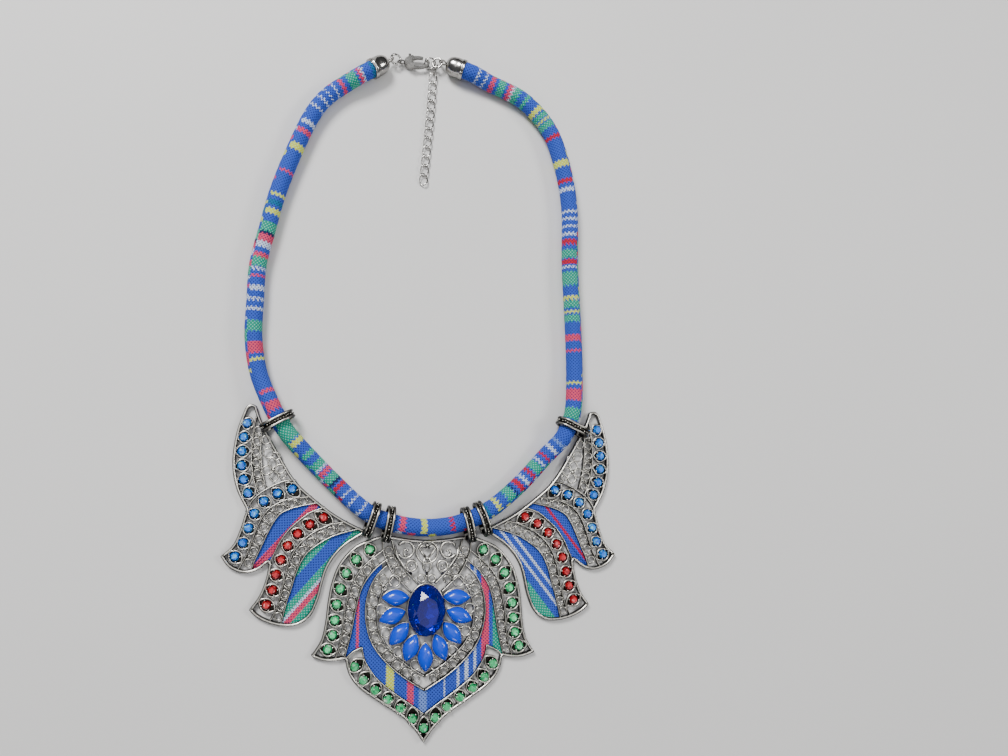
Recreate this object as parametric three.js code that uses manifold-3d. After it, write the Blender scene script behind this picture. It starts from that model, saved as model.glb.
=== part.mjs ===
// Bib necklace lying flat. Millimetres, +Z up, the floor at z = 0, the clasp at the far (+Y) side.
// The middle plate's axis is x = 0 while the pieces are made; the whole is centred at the end.
import * as THREE from 'three'
import { mergeVertices } from 'three/addons/utils/BufferGeometryUtils.js'
import Module from 'manifold-3d'

const wasm = await Module()
wasm.setup()

// Middle plate: half width at the flare tips, height from the bar to the bottom tip.
const centreHalfWidth = 40.2
const centreHeight = 71.4
const centreTopY = -32.0
// Wing plate: width from the outer tip to the spine's low end, height from tip to tip.
const wingWidth = 50.6
const wingHeight = 76.8
// Where a wing's spine ends beside the middle plate (x), and its lowest point (y).
const leftWingEnd = [-21.6, -63.0]
const rightWingEnd = [20.7, -62.24]

// Cast lace: land thickness, raised rims, narrow lands between the gaps.
const landThickness = 1.5
const rimRise = 0.5
const rimWidth = 0.8
const rimStep = 0.25
const sharpestCorner = 0.14
const landWidth = 0.95
const gapSides = 6
const curveStep = 6.4

// Small round cut stones, set in the eyes of the lace.
const smallStoneRadius = 1.65
const smallStoneTable = 0.95
const smallStoneRise = 1.1
const smallStoneSides = 8
const eyeTipWidth = 1.1
const eyeNeckWidth = 0.8

// Middle stone and the nine petal stones.
const ovalHalfWidth = 6.7
const ovalHalfHeight = 9.0
const ovalRise = 4.9
const ovalSides = 16
const ovalTableShare = 0.55
const ovalProfile = [[0.72, 0], [1, 0.28], [1, 0.36], [ovalTableShare, 1]]
const petalSides = 10
const petalProfile = [[0.92, 0], [1, 0.22], [0.8, 0.72], [0.42, 1]]
const petalLength = 10.0
const petalWidth = 5.5
const petalRise = 2.9
const seatGap = 0.3

const petalGapReach = 0.97
const petalGapSpread = 0.7
const lowestStoneAcross = 0.5
const lowestGapEnd = 0.965

// Cloth: thickness of the insets and their clearance in the windows.
const clothThickness = 1.1
const clothGap = 0.3

// Cord, caps and bails.
const cordRadius = 3.1
const cordSides = 8
const cordSteps = 54
const capClearance = 0.3
const capWall = 0.45
const capLength = 7.4
const capGrooveDepth = 0.25
const capLip = 1.0
const capSides = 10
const capEndDepth = 4.6
const capLift = 0.28
const bailWall = 1.2
const bailBreadth = 3.0
const bailRailWidth = 0.75
const bailGroove = 0.3
const bailLength = 13.2
const bailClearance = 0.65
const bailDrop = 0.15
const bailSeat = 1.3
// Solid foot under the near end of a bail, where it's soldered on.
const bailFootStart = 0.8
const bailFootLength = 2.4
const bailFootHeight = 2.2
const bailSides = 10

// Clasp row: eyes, rings, lobster claw.
const eyeRadius = 1.3
const eyeWire = 0.32
const eyeNeck = 1.6
const ringWire = 0.4
const ringLeftRadius = 2.0
const ringLeftBend = 17
const ringRightRadius = 1.85
const ringHookRadius = 2.0
const hookRingWire = 0.32
const ringTilt = 38
const linkRunGap = 0.3
const hookRunGap = 0.6
const wireSides = 5
const clawLength = 10.0
const clawWidth = 5.0
const clawThickness = 2.6
const jawThickness = 0.9
const jawWidth = 1.0
const cheekThickness = 0.5
const leverClearance = 0.22
const pinRadius = 0.4
const claspHeight = 1.98
const clawEyeSink = 0.5
const cavityLeft = -2.2
const leverTab = 0.8

// Chain of twisted links.
const chainWire = 0.27
const chainPitch = 3.76
const chainLinkWidth = 2.9
const chainTwist = 0.46
const chainGap = 0.34
const chainLinks = 12
const connectorTurn = 255
const connectorWidth = 2.1
const linkSteps = 10
const ringSteps = 12
const linkSides = 5
const chainRoute = [[-1.2, 142.6], [-2.0, 127.0], [-4.1, 101.0]]

function finish(name, color, metalness, roughness) {
  return new THREE.MeshStandardMaterial({ name, color, metalness, roughness })
}
const silver = finish('antique_silver', 0x9c9789, 1, 0.38)
const bright = finish('polished_silver', 0xd8d4cc, 1, 0.15)
const royal = finish('royal_blue_glass', 0x0b1fae, 0, 0.08)
const azure = finish('azure_stone', 0x0a63d6, 0, 0.2)
const woven = finish('woven_cloth', 0x2f56b8, 0, 0.9)

// Wing curves. Columns: share of the wing's width from the outer tip, share of its height.
const wingCurves = {
  featherOuter: [[0.118, 0.978], [0.071, 0.879], [0.049, 0.775], [0.055, 0.684], [0.091, 0.599],
    [0.154, 0.523]],
  featherInner: [[0.198, 0.944], [0.184, 0.882], [0.176, 0.820], [0.176, 0.755], [0.186, 0.690],
    [0.209, 0.630], [0.241, 0.587]],
  flowerRim: [[0.243, 0.902], [0.235, 0.833], [0.239, 0.768], [0.253, 0.689], [0.281, 0.617]],
  spine: [[0.202, 0.975], [0.245, 0.908], [0.358, 0.777], [0.482, 0.652], [0.626, 0.565], [0.796, 0.486],
    [1, 0.419]],
  secondOuter: [[0.486, 0.652], [0.423, 0.651], [0.338, 0.629], [0.245, 0.591], [0.186, 0.549],
    [0.150, 0.495], [0.123, 0.430], [0.077, 0.357], [0, 0.309]],
  secondInner: [[0.601, 0.578], [0.490, 0.572], [0.419, 0.561], [0.348, 0.539], [0.296, 0.510],
    [0.257, 0.470], [0.225, 0.417], [0.194, 0.353], [0.160, 0.297], [0.117, 0.245]],
  secondScroll: [[0.648, 0.552], [0.540, 0.538], [0.458, 0.523], [0.389, 0.499], [0.342, 0.457],
    [0.304, 0.405], [0.265, 0.344], [0.229, 0.290], [0.204, 0.238]],
  secondFoot: [[0, 0.309], [0.053, 0.264], [0.132, 0.238], [0.202, 0.236], [0.271, 0.255], [0.328, 0.288]],
  thirdOuter: [[0.696, 0.531], [0.591, 0.505], [0.520, 0.469], [0.451, 0.426], [0.397, 0.375],
    [0.362, 0.324], [0.328, 0.273], [0.314, 0.221], [0.292, 0.169], [0.259, 0.121], [0.206, 0.073]],
  thirdInner: [[0.854, 0.466], [0.749, 0.453], [0.652, 0.427], [0.581, 0.396], [0.526, 0.361],
    [0.486, 0.320], [0.455, 0.267], [0.435, 0.208], [0.415, 0.143], [0.387, 0.072], [0.342, 0.014]],
  thirdScroll: [[0.949, 0.435], [0.848, 0.419], [0.751, 0.398], [0.664, 0.366], [0.587, 0.326],
    [0.540, 0.279], [0.510, 0.229], [0.486, 0.169], [0.458, 0.108], [0.421, 0.003]],
  thirdFoot: [[0.206, 0.073], [0.255, 0.042], [0.332, 0.016], [0.427, 0], [0.522, 0.001], [0.597, 0.026],
    [0.642, 0.062]],
  hem: [[0.642, 0.062], [0.676, 0.124], [0.698, 0.189], [0.725, 0.250], [0.775, 0.307], [0.850, 0.358],
    [0.947, 0.400], [1, 0.419]],
}

// Round tip of the wing, from the spine to the feather's outer side. Columns as above.
const wingTip = [[0.1957, 0.990], [0.162, 1], [0.134, 0.992]]

// Middle plate curves. Columns: share of the half width from the axis, share of the height.
const centreCurves = {
  bar: [[0, 0.976], [0.17, 0.983], [0.33, 0.997]],
  sideOuter: [[0.408, 1], [0.629, 0.951], [0.771, 0.868], [0.838, 0.775], [0.868, 0.679], [0.886, 0.573],
    [0.918, 0.492], [0.998, 0.420]],
  flareFoot: [[0.998, 0.420], [0.888, 0.399], [0.791, 0.397], [0.697, 0.406]],
  sideInner: [[0.388, 0.930], [0.527, 0.868], [0.617, 0.811], [0.672, 0.748], [0.701, 0.683],
    [0.721, 0.619], [0.731, 0.545], [0.754, 0.468], [0.794, 0.398]],
  sideScroll: [[0.353, 0.885], [0.470, 0.831], [0.555, 0.766], [0.597, 0.706], [0.629, 0.622],
    [0.652, 0.545], [0.679, 0.475], [0.712, 0.404]],
  ringOuter: [[0.356, 0.854], [0.458, 0.793], [0.520, 0.711], [0.537, 0.618], [0.505, 0.521],
    [0.440, 0.447], [0.326, 0.375], [0.187, 0.312], [0, 0.247]],
  ringInner: [[0.291, 0.797], [0.381, 0.738], [0.423, 0.669], [0.435, 0.616], [0.418, 0.541],
    [0.356, 0.473], [0.251, 0.410], [0.139, 0.360], [0, 0.314]],
  footOuter: [[0.697, 0.403], [0.687, 0.363], [0.644, 0.311], [0.555, 0.259], [0.386, 0.195],
    [0.204, 0.129], [0.090, 0.067], [0, 0]],
  footInner: [[0.557, 0.459], [0.545, 0.419], [0.507, 0.371], [0.413, 0.303], [0.266, 0.238],
    [0.119, 0.182], [0, 0.134]],
  footTop: [[0.697, 0.406], [0.637, 0.438], [0.557, 0.459]],
  vOuter: [[0.398, 0.986], [0.393, 0.917], [0.343, 0.852], [0.296, 0.808], [0.216, 0.762], [0.134, 0.720]],
  vInner: [[0.321, 0.980], [0.279, 0.902], [0.192, 0.829], [0.075, 0.762]],
}

// Rows of stones. Columns: place of the first and the last stone along the band, share across, stones.
const wingStoneRows = {
  feather: [0.128, 0.900, 0.48, 6],
  second: [0.103, 0.922, 0.49, 7],
  third: [0.100, 0.902, 0.51, 8],
}
const centreStoneRows = {
  side: [0.113, 0.927, 0.51, 8],
  foot: [0.115, 0.845, 0.40, 6],
}

// Scroll gaps. Columns: share along of the first end and of the last, number of gaps.
const wingScrollRows = {
  feather: [0.10, 0.95, 2],
  second: [0.06, 0.95, 2],
  third: [0.06, 0.96, 3],
}
const centreScrollRows = {
  side: [0.10, 0.94, 2],
  ring: [0.05, 0.93, 3],
  v: [0.12, 0.86, 1],
}

// Flower of loops in the wing: centre as shares of width and height, loops in mm.
const flowerCentre = [0.330, 0.697]
const flowerPetals = 4
const flowerReach = 3.0
const flowerHalfWidth = 1.35
const flowerHalfLength = 1.7
// Loops above the flower. Columns: share of width, share of height, half width, half height (mm), turn.
const flowerLoops = [[0.274, 0.806, 0.95, 2.6, 0]]
// Lyre under the bar, right half. Columns: share of half width and of height, half width, half height (mm).
const lyreLoops = [
  [0.192, 0.922, 2.6, 2.5], [0.140, 0.853, 1.6, 1.6], [0.054, 0.925, 1.45, 2.5], [0.046, 0.838, 1.0, 1.9],
]
// Petal stones, right half and the lowest. Columns: share of half width, share of height, turn from +X.
const petalRows = [
  [0.274, 0.698, 0], [0.300, 0.609, -20], [0.236, 0.523, -48], [0.131, 0.455, -67], [0, 0.4075, -90],
]
const ovalCentre = [0.0, 0.636]
// Gap above the first petal, right half. Columns: share of half width, share of height.
const fieldGap = [[0.291, 0.782], [0.362, 0.738], [0.205, 0.738]]

// Route of the cord from the left cap towards the right one. Columns: x, y, what it rests in;
// in a bail x and y count from the bail's near end.
const cordRoute = [
  [-21.6, 144.3, 'nose'], [-28.4, 139.4, 'mouth'], [-35.2, 135.0, 'floor'], [-41.7, 129.4, 'floor'],
  [-46.6, 122.3, 'floor'], [-52.9, 107.0, 'floor'], [-58.1, 91.1, 'floor'], [-61.4, 76.5, 'floor'],
  [-63.9, 64.1, 'floor'], [-64.3, 51.0, 'floor'], [-64.3, 37.2, 'floor'], [-62.0, 24.8, 'floor'],
  [2.1, 8.6, 'leftUpper'], [5.2, 2.9, 'leftUpper'], [8.7, -2.1, 'leftUpper'], [-41.5, -6.4, 'floor'],
  [-31.6, -15.9, 'floor'], [-3.7, 10.3, 'leftLower'], [2.4, 6.2, 'leftLower'], [0.9, 6.0, 'centreLeft'],
  [7.4, 4.6, 'centreLeft'], [0.6, -29.0, 'floor'], [-6.8, 5.0, 'centreRight'],
  [-1.2, 6.7, 'centreRight'], [-2.4, 6.4, 'rightLower'], [3.2, 9.9, 'rightLower'],
  [34.7, -12.2, 'floor'], [44.0, -2.2, 'floor'], [-8.7, -2.1, 'rightUpper'], [-6.1, 2.9, 'rightUpper'],
  [-4.5, 8.9, 'rightUpper'], [54.8, 30.1, 'floor'], [54.1, 49.8, 'floor'], [53.1, 69.7, 'floor'],
  [52.8, 94.4, 'floor'], [49.8, 110.6, 'floor'], [44.6, 124.2, 'floor'], [34.2, 135.2, 'floor'],
]
// Its last points lie on the right cap's axis. Columns: distance from the cord's end, what it rests in.
const cordLastRoute = [[14.6, 'floor'], [8.4, 'mouth'], [0, 'nose']]
const rightCapTurn = -20
const claspTurn = 3
const capTilt = 6.5
const floorLift = 0.1
const cordLift = 0.22

// Bails. Columns: plate, near end as shares of the plate's size, direction over the cord in degrees.
const bailTable = {
  leftUpper: ['left', 0.254941, 0.889323, 29],
  leftLower: ['left', 0.988142, 0.414062, 71],
  centreLeft: ['centre', -0.383085, 0.987395, 80],
  centreRight: ['centre', 0.383085, 0.987395, 103],
  rightLower: ['right', 0.986166, 0.413281, 111],
  rightUpper: ['right', 0.256917, 0.889844, 155],
}

const degrees = Math.PI / 180
const lerp = (a, b, t) => a + (b - a) * t

// Place on a plate from shares of its size.
const plateSpots = {
  left: ([u, v]) => [leftWingEnd[0] - (1 - u) * wingWidth, leftWingEnd[1] + v * wingHeight],
  right: ([u, v]) => [rightWingEnd[0] + (1 - u) * wingWidth, rightWingEnd[1] + v * wingHeight],
  centre: ([u, v]) => [u * centreHalfWidth, centreTopY - (1 - v) * centreHeight],
}
const bailEnds = {}
for (const [name, [plate, u, v]] of Object.entries(bailTable)) bailEnds[name] = plateSpots[plate]([u, v])

// Closed solid of a geometry; its faces are turned outward where they came out inward.
function toSolid(geometry) {
  const bare = geometry.clone()
  bare.deleteAttribute('normal')
  bare.deleteAttribute('uv')
  const merged = mergeVertices(bare, 1e-4)
  const vertProperties = new Float32Array(merged.attributes.position.array)
  const triVerts = new Uint32Array(merged.index.array)
  if (signedVolume(vertProperties, triVerts) < 0) {
    for (let i = 0; i < triVerts.length; i += 3) {
      [triVerts[i + 1], triVerts[i + 2]] = [triVerts[i + 2], triVerts[i + 1]]
    }
  }
  return new wasm.Manifold(new wasm.Mesh({ numProp: 3, vertProperties, triVerts }))
}

function signedVolume(positions, triangles) {
  const corner = i => new THREE.Vector3().fromArray(positions, triangles[i] * 3)
  let sum = 0
  for (let i = 0; i < triangles.length; i += 3) sum += corner(i).dot(corner(i + 1).cross(corner(i + 2)))
  return sum / 6
}

const group = new THREE.Group()

function addPiece(name, solid, material) {
  const mesh = solid.getMesh()
  const geometry = new THREE.BufferGeometry()
  geometry.setAttribute('position', new THREE.BufferAttribute(new Float32Array(mesh.vertProperties), 3))
  geometry.setIndex(new THREE.BufferAttribute(new Uint32Array(mesh.triVerts), 1))
  geometry.computeVertexNormals()
  const piece = new THREE.Mesh(geometry, material)
  piece.name = name
  group.add(piece)
}

function join(solids) {
  let whole = solids[0]
  for (const solid of solids.slice(1)) whole = whole.add(solid)
  return whole
}

// Flat outlines: points are [x, y], a prism stands from low to high
function area(points) {
  let sum = 0
  points.forEach(([x, y], i) => {
    const [u, v] = points[(i + 1) % points.length]
    sum += x * v - u * y
  })
  return sum / 2
}

function prismGeometry(points, low, high) {
  const loop = area(points) < 0 ? [...points].reverse() : points
  const shape = new THREE.Shape(loop.map(([x, y]) => new THREE.Vector2(x, y)))
  const geometry = new THREE.ExtrudeGeometry(shape, { depth: high - low, bevelEnabled: false, steps: 1 })
  geometry.translate(0, 0, low)
  return geometry
}

function prism(points, low, high) {
  return toSolid(prismGeometry(points, low, high))
}

function spline(rows) {
  return new THREE.SplineCurve(rows.map(([x, y]) => new THREE.Vector2(x, y)))
}

function along(curve, from, to) {
  const points = []
  const steps = Math.max(3, Math.round(curve.getLength() * (to - from) / curveStep))
  for (let i = 0; i <= steps; i++) {
    const p = curve.getPointAt(lerp(from, to, i / steps))
    points.push([p.x, p.y])
  }
  return points
}

// A raised rim that follows a curve, moved sideways by a shift to its left.
function rimAlong(points, shift = 0) {
  const left = []
  const right = []
  points.forEach(([x, y], i) => {
    const [ax, ay] = points[Math.max(i - 1, 0)]
    const [bx, by] = points[Math.min(i + 1, points.length - 1)]
    const length = Math.hypot(bx - ax, by - ay)
    const nx = -(by - ay) / length
    const ny = (bx - ax) / length
    left.push([x + nx * (shift + rimWidth / 2), y + ny * (shift + rimWidth / 2)])
    right.push([x + nx * (shift - rimWidth / 2), y + ny * (shift - rimWidth / 2)])
  })
  return prism([...left, ...right.reverse()], landThickness / 2, landThickness + rimRise)
}

// Bands between two curves: s runs along, t across; near and far are the lands kept at each curve
const rimInside = rimWidth + rimStep
const rimCentred = rimWidth / 2 + rimStep

function bandPoint(band, s, t) {
  const a = band.outer.getPointAt(Math.min(Math.max(s, 0), 1))
  const b = band.inner.getPointAt(Math.min(Math.max(s, 0), 1))
  return [lerp(a.x, b.x, t), lerp(a.y, b.y, t)]
}

function bandWidth(band, s) {
  const [ax, ay] = bandPoint(band, s, 0)
  const [bx, by] = bandPoint(band, s, 1)
  return Math.hypot(bx - ax, by - ay)
}

// Gap between two neighbouring eyes: wide at the rims, narrow between the stones.
function eyeGap(band, sA, sB, across) {
  const middle = (sA + sB) / 2
  const [ax, ay] = bandPoint(band, sA, across)
  const [bx, by] = bandPoint(band, sB, across)
  const pitch = Math.hypot(bx - ax, by - ay)
  const low = band.near / bandWidth(band, middle)
  const high = 1 - band.far / bandWidth(band, middle)
  const wide = ((sB - sA) / 2) * (1 - eyeTipWidth / pitch)
  const narrow = ((sB - sA) / 2) * (eyeNeckWidth / pitch)
  const corners = [
    [middle - wide, low], [middle + wide, low], [middle + narrow, across],
    [middle + wide, high], [middle - wide, high], [middle - narrow, across],
  ]
  return corners.map(([s, t]) => bandPoint(band, s, t))
}

// Long gaps of a scroll band, with a narrow land between them.
function scrollGaps(band, [from, to, count]) {
  const gaps = []
  const half = landWidth / 2 / band.inner.getLength()
  const low = s => band.near / bandWidth(band, s)
  const high = s => 1 - band.far / bandWidth(band, s)
  for (let i = 0; i < count; i++) {
    const a = lerp(from, to, i / count) + half
    const b = lerp(from, to, (i + 1) / count) - half
    const m = (a + b) / 2
    gaps.push([
      bandPoint(band, a, low(a)), bandPoint(band, m, low(m)), bandPoint(band, b, low(b)),
      bandPoint(band, b, high(b)), bandPoint(band, m, high(m)), bandPoint(band, a, high(a)),
    ])
  }
  return gaps
}

function ovalLoop(x, y, halfWidth, halfHeight, turn, sides) {
  const points = []
  for (let i = 0; i < sides; i++) {
    const angle = (i + 0.5) / sides * 2 * Math.PI
    const u = Math.cos(angle) * halfWidth
    const v = Math.sin(angle) * halfHeight
    const c = Math.cos(turn * degrees)
    const s = Math.sin(turn * degrees)
    points.push([x + u * c - v * s, y + u * s + v * c])
  }
  return points
}

// Solid through stacked loops of equal count, closed with flat ends.
function stack(loops) {
  const count = loops[0].length
  const positions = loops.flat().flat()
  const index = []
  for (let k = 0; k + 1 < loops.length; k++) {
    for (let i = 0; i < count; i++) {
      const a = k * count + i
      const b = k * count + (i + 1) % count
      index.push(a, b, b + count, a, b + count, a + count)
    }
  }
  for (let i = 1; i + 1 < count; i++) {
    const top = (loops.length - 1) * count
    index.push(0, i + 1, i, top, top + i, top + i + 1)
  }
  const geometry = new THREE.BufferGeometry()
  geometry.setAttribute('position', new THREE.Float32BufferAttribute(positions, 3))
  geometry.setIndex(index)
  return toSolid(geometry)
}

const atHeight = (loop, z) => loop.map(([x, y]) => [x, y, z])

// Small cut stone fused to the land: eight crown facets and a table.
function smallStone([x, y]) {
  const foot = ovalLoop(x, y, smallStoneRadius, smallStoneRadius, 0, smallStoneSides)
  const table = ovalLoop(x, y, smallStoneTable, smallStoneTable, 0, smallStoneSides)
  return stack([atHeight(foot, landThickness * 0.8), atHeight(table, landThickness + smallStoneRise)])
}

// Surface through loops of equal count; the last loop is joined to the first.
function ringGeometry(loops) {
  const count = loops[0].length
  const index = []
  for (let k = 0; k < loops.length; k++) {
    for (let i = 0; i < count; i++) {
      const a = k * count + i
      const b = k * count + (i + 1) % count
      const c = ((k + 1) % loops.length) * count + (i + 1) % count
      const d = ((k + 1) % loops.length) * count + i
      index.push(a, c, b, a, d, c)
    }
  }
  const geometry = new THREE.BufferGeometry()
  geometry.setAttribute('position', new THREE.Float32BufferAttribute(loops.flat(2), 3))
  geometry.setIndex(index)
  return geometry
}

// Tubes: closed rings and links about a centre, with the plane given by two directions
function wireLoop(centre, across, up, halfWidth, halfHeight, wire, steps, sides, twist = 0) {
  const normal = new THREE.Vector3().crossVectors(across, up).normalize()
  const points = []
  const flat = 1 / Math.cos(Math.PI / steps)
  for (let i = 0; i < steps; i++) {
    const t = (i + 0.5) / steps * 2 * Math.PI
    points.push(centre.clone()
      .addScaledVector(across, Math.sin(t) * halfWidth * flat)
      .addScaledVector(up, Math.cos(t) * halfHeight * flat)
      .addScaledVector(normal, Math.sin(2 * t) * twist))
  }
  return toSolid(ringGeometry(points.map((p, i) => {
    const before = points[(i + steps - 1) % steps]
    const after = points[(i + 1) % steps]
    const forward = after.clone().sub(before).normalize()
    const side = new THREE.Vector3().crossVectors(forward, normal).normalize()
    const over = new THREE.Vector3().crossVectors(side, forward).normalize()
    return Array.from({ length: sides }, (_, k) => {
      const angle = (k + 0.5) / sides * 2 * Math.PI
      return p.clone()
        .addScaledVector(side, Math.cos(angle) * wire)
        .addScaledVector(over, Math.sin(angle) * wire)
        .toArray()
    })
  })))
}

// Bails: oval rings that stand on the plates' edges, two rails with a sunk band between
const bailInner = cordRadius + bailClearance
const bailHeight = 2 * (bailInner + bailWall)
const bailCentreZ = bailHeight / 2

// Flattened ring whose straight sides and rounded ends lie on the outside of the exact oval.
function stadium(halfLength, halfHeight, sides) {
  const half = sides / 2
  const radius = halfHeight / Math.cos(Math.PI / sides)
  return Array.from({ length: sides }, (_, i) => {
    const angle = ((i + 0.5) / half * 180 - 90) * degrees
    const shift = (halfLength - halfHeight) * (i < half ? 1 : -1)
    return [shift + Math.cos(angle) * radius, Math.sin(angle) * radius]
  })
}

function bail(name) {
  const [x, y] = bailEnds[name]
  const turn = bailTable[name][3]
  const half = bailLength / 2
  const outer = stadium(half, bailHeight / 2, bailSides)
  const sunk = stadium(half - bailGroove, bailHeight / 2 - bailGroove, bailSides)
  const hollow = stadium(half - bailWall, bailInner, bailSides)
  const edge = bailBreadth / 2
  const step = edge - bailRailWidth
  const loops = [
    [hollow, -edge], [outer, -edge], [outer, -step], [sunk, -step],
    [sunk, step], [outer, step], [outer, edge], [hollow, edge],
  ]
  const ring = ringGeometry(loops.map(([loop, w]) => loop.map(([u, v]) => [u, w, v])))
  const foot = new THREE.BoxGeometry(bailFootLength, bailBreadth, bailFootHeight)
  foot.translate(bailFootStart + bailFootLength / 2 - half, 0, bailFootHeight / 2 - bailCentreZ)
  const [ringSolid, footSolid] = [ring, foot].map(geometry => {
    geometry.translate(half - bailSeat, 0, bailCentreZ)
    geometry.rotateZ(turn * degrees)
    geometry.translate(x, y, 0)
    return toSolid(geometry)
  })
  return ringSolid.add(footSolid)
}

// A lace plate: outline, rims and stones joined, then every gap cut through
function lacePlate(outline, rims, stones, gaps, extras) {
  const pocket = prism(shrink(outline, rimWidth), landThickness, landThickness * 2)
  const base = prism(outline, 0, landThickness + rimRise).subtract(pocket)
  const raised = join([base, ...rims, ...stones.map(smallStone), ...extras])
  let cuts = null
  for (const gap of gaps) {
    const tool = prism(gap, -landThickness, landThickness * 3)
    cuts = cuts ? cuts.add(tool) : tool
  }
  return raised.subtract(cuts)
}

function stonePlaces([from, to, , count]) {
  return Array.from({ length: count }, (_, i) => lerp(from, to, i / (count - 1)))
}

// Wing, drawn as the left one; side is -1 for the left wing and 1 for its mirror image.
function wing(side, spot, bails) {
  const curves = {}
  for (const [name, rows] of Object.entries(wingCurves)) curves[name] = spline(rows.map(spot))
  const band = (outer, inner, near, far) => ({ outer: curves[outer], inner: curves[inner], near, far })
  const bands = {
    feather: band('featherOuter', 'featherInner', rimInside, rimCentred),
    second: band('secondOuter', 'secondInner', rimInside, rimCentred),
    third: band('thirdOuter', 'thirdInner', rimInside, rimCentred),
    featherScroll: band('featherInner', 'flowerRim', rimCentred, rimCentred),
    secondScroll: band('secondInner', 'secondScroll', rimCentred, rimCentred),
    thirdScroll: band('thirdInner', 'thirdScroll', rimCentred, rimCentred),
  }
  const rowOf = name => along(curves[name], 0, 1)
  const footMeet = nearest(curves.secondOuter, curves.featherOuter.getPointAt(1))
  const tipMeet = nearest(curves.thirdOuter, curves.secondFoot.getPointAt(1))
  const outline = [
    ...rowOf('featherOuter'),
    ...along(curves.secondOuter, footMeet + 0.03, 1),
    ...along(curves.secondFoot, 0.12, 0.94),
    ...along(curves.thirdOuter, tipMeet + 0.03, 1),
    ...along(curves.thirdFoot, 0.1, 0.94),
    ...along(curves.hem, 0, 1),
    ...rowOf('spine').reverse().slice(1),
    ...wingTip.map(spot),
  ]
  const inset = -side * rimWidth / 2
  const rims = [
    rimAlong(along(curves.featherInner, 0.02, 0.97)),
    rimAlong(along(curves.flowerRim, 0.02, 0.96)),
    rimAlong(along(curves.secondOuter, 0.02, footMeet + 0.03), inset),
    rimAlong(along(curves.secondInner, 0.03, 0.97)),
    rimAlong(along(curves.secondScroll, 0.03, 0.97)),
    rimAlong(along(curves.thirdOuter, 0.03, tipMeet + 0.03), inset),
    rimAlong(along(curves.thirdInner, 0.03, 0.98)),
    rimAlong(along(curves.thirdScroll, 0.03, 0.98)),
  ]
  const stones = []
  const gaps = []
  for (const [name, row] of Object.entries(wingStoneRows)) {
    const places = stonePlaces(row)
    places.forEach((s, i) => {
      stones.push(bandPoint(bands[name], s, row[2]))
      if (i > 0) gaps.push(eyeGap(bands[name], places[i - 1], s, row[2]))
    })
  }
  gaps.push(...scrollGaps(bands.featherScroll, wingScrollRows.feather))
  gaps.push(...scrollGaps(bands.secondScroll, wingScrollRows.second))
  gaps.push(...scrollGaps(bands.thirdScroll, wingScrollRows.third))
  for (const [u, v, halfWidth, halfHeight, turn] of flowerLoops) {
    gaps.push(ovalLoop(...spot([u, v]), halfWidth, halfHeight, side * turn, gapSides))
  }
  const [flowerX, flowerY] = spot(flowerCentre)
  for (let i = 0; i < flowerPetals; i++) {
    const turn = side * i * 360 / flowerPetals
    const x = flowerX - Math.sin(turn * degrees) * flowerReach
    const y = flowerY + Math.cos(turn * degrees) * flowerReach
    gaps.push(ovalLoop(x, y, flowerHalfWidth, flowerHalfLength, turn, gapSides))
  }
  // Cloth windows keep clear of the rims that run along them.
  const second = along(curves.secondScroll, 0.05, 0.93)
  const third = along(curves.thirdOuter, 0.05, tipMeet - 0.04)
  const scroll = along(curves.thirdScroll, 0.05, 0.945)
  const hem = along(curves.hem, 0.03, 0.95).reverse()
  const windows = [
    [...shifted(second, -side * rimCentred), ...third.reverse()],
    [...shifted(scroll, -side * rimCentred), ...shifted(hem, side * rimInside).reverse()],
  ]
  const plate = lacePlate(outline, rims, stones, [...gaps, ...windows], bails)
  return { plate, cloths: windows.map(loop => prism(shrink(loop, clothGap), 0, clothThickness)) }
}

function shifted(points, by) {
  return points.map(([x, y], i) => {
    const [ax, ay] = points[Math.max(i - 1, 0)]
    const [bx, by2] = points[Math.min(i + 1, points.length - 1)]
    const length = Math.hypot(bx - ax, by2 - ay)
    return [x - (by2 - ay) / length * by, y + (bx - ax) / length * by]
  })
}

// A loop moved inward by a distance, corner by corner.
function shrink(points, by) {
  const turn = Math.sign(area(points))
  const count = points.length
  return points.map(([x, y], i) => {
    const [ax, ay] = points[(i + count - 1) % count]
    const [bx, by2] = points[(i + 1) % count]
    const l1 = Math.hypot(x - ax, y - ay)
    const l2 = Math.hypot(bx - x, by2 - y)
    const n1 = [-(y - ay) / l1 * turn, (x - ax) / l1 * turn]
    const n2 = [-(by2 - y) / l2 * turn, (bx - x) / l2 * turn]
    const scale = by / Math.max(1 + n1[0] * n2[0] + n1[1] * n2[1], sharpestCorner)
    return [x + (n1[0] + n2[0]) * scale, y + (n1[1] + n2[1]) * scale]
  })
}

function nearest(curve, point) {
  let best = 0
  for (let i = 0; i <= 100; i++) {
    if (curve.getPointAt(i / 100).distanceTo(point) < curve.getPointAt(best).distanceTo(point)) best = i / 100
  }
  return best
}

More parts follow.
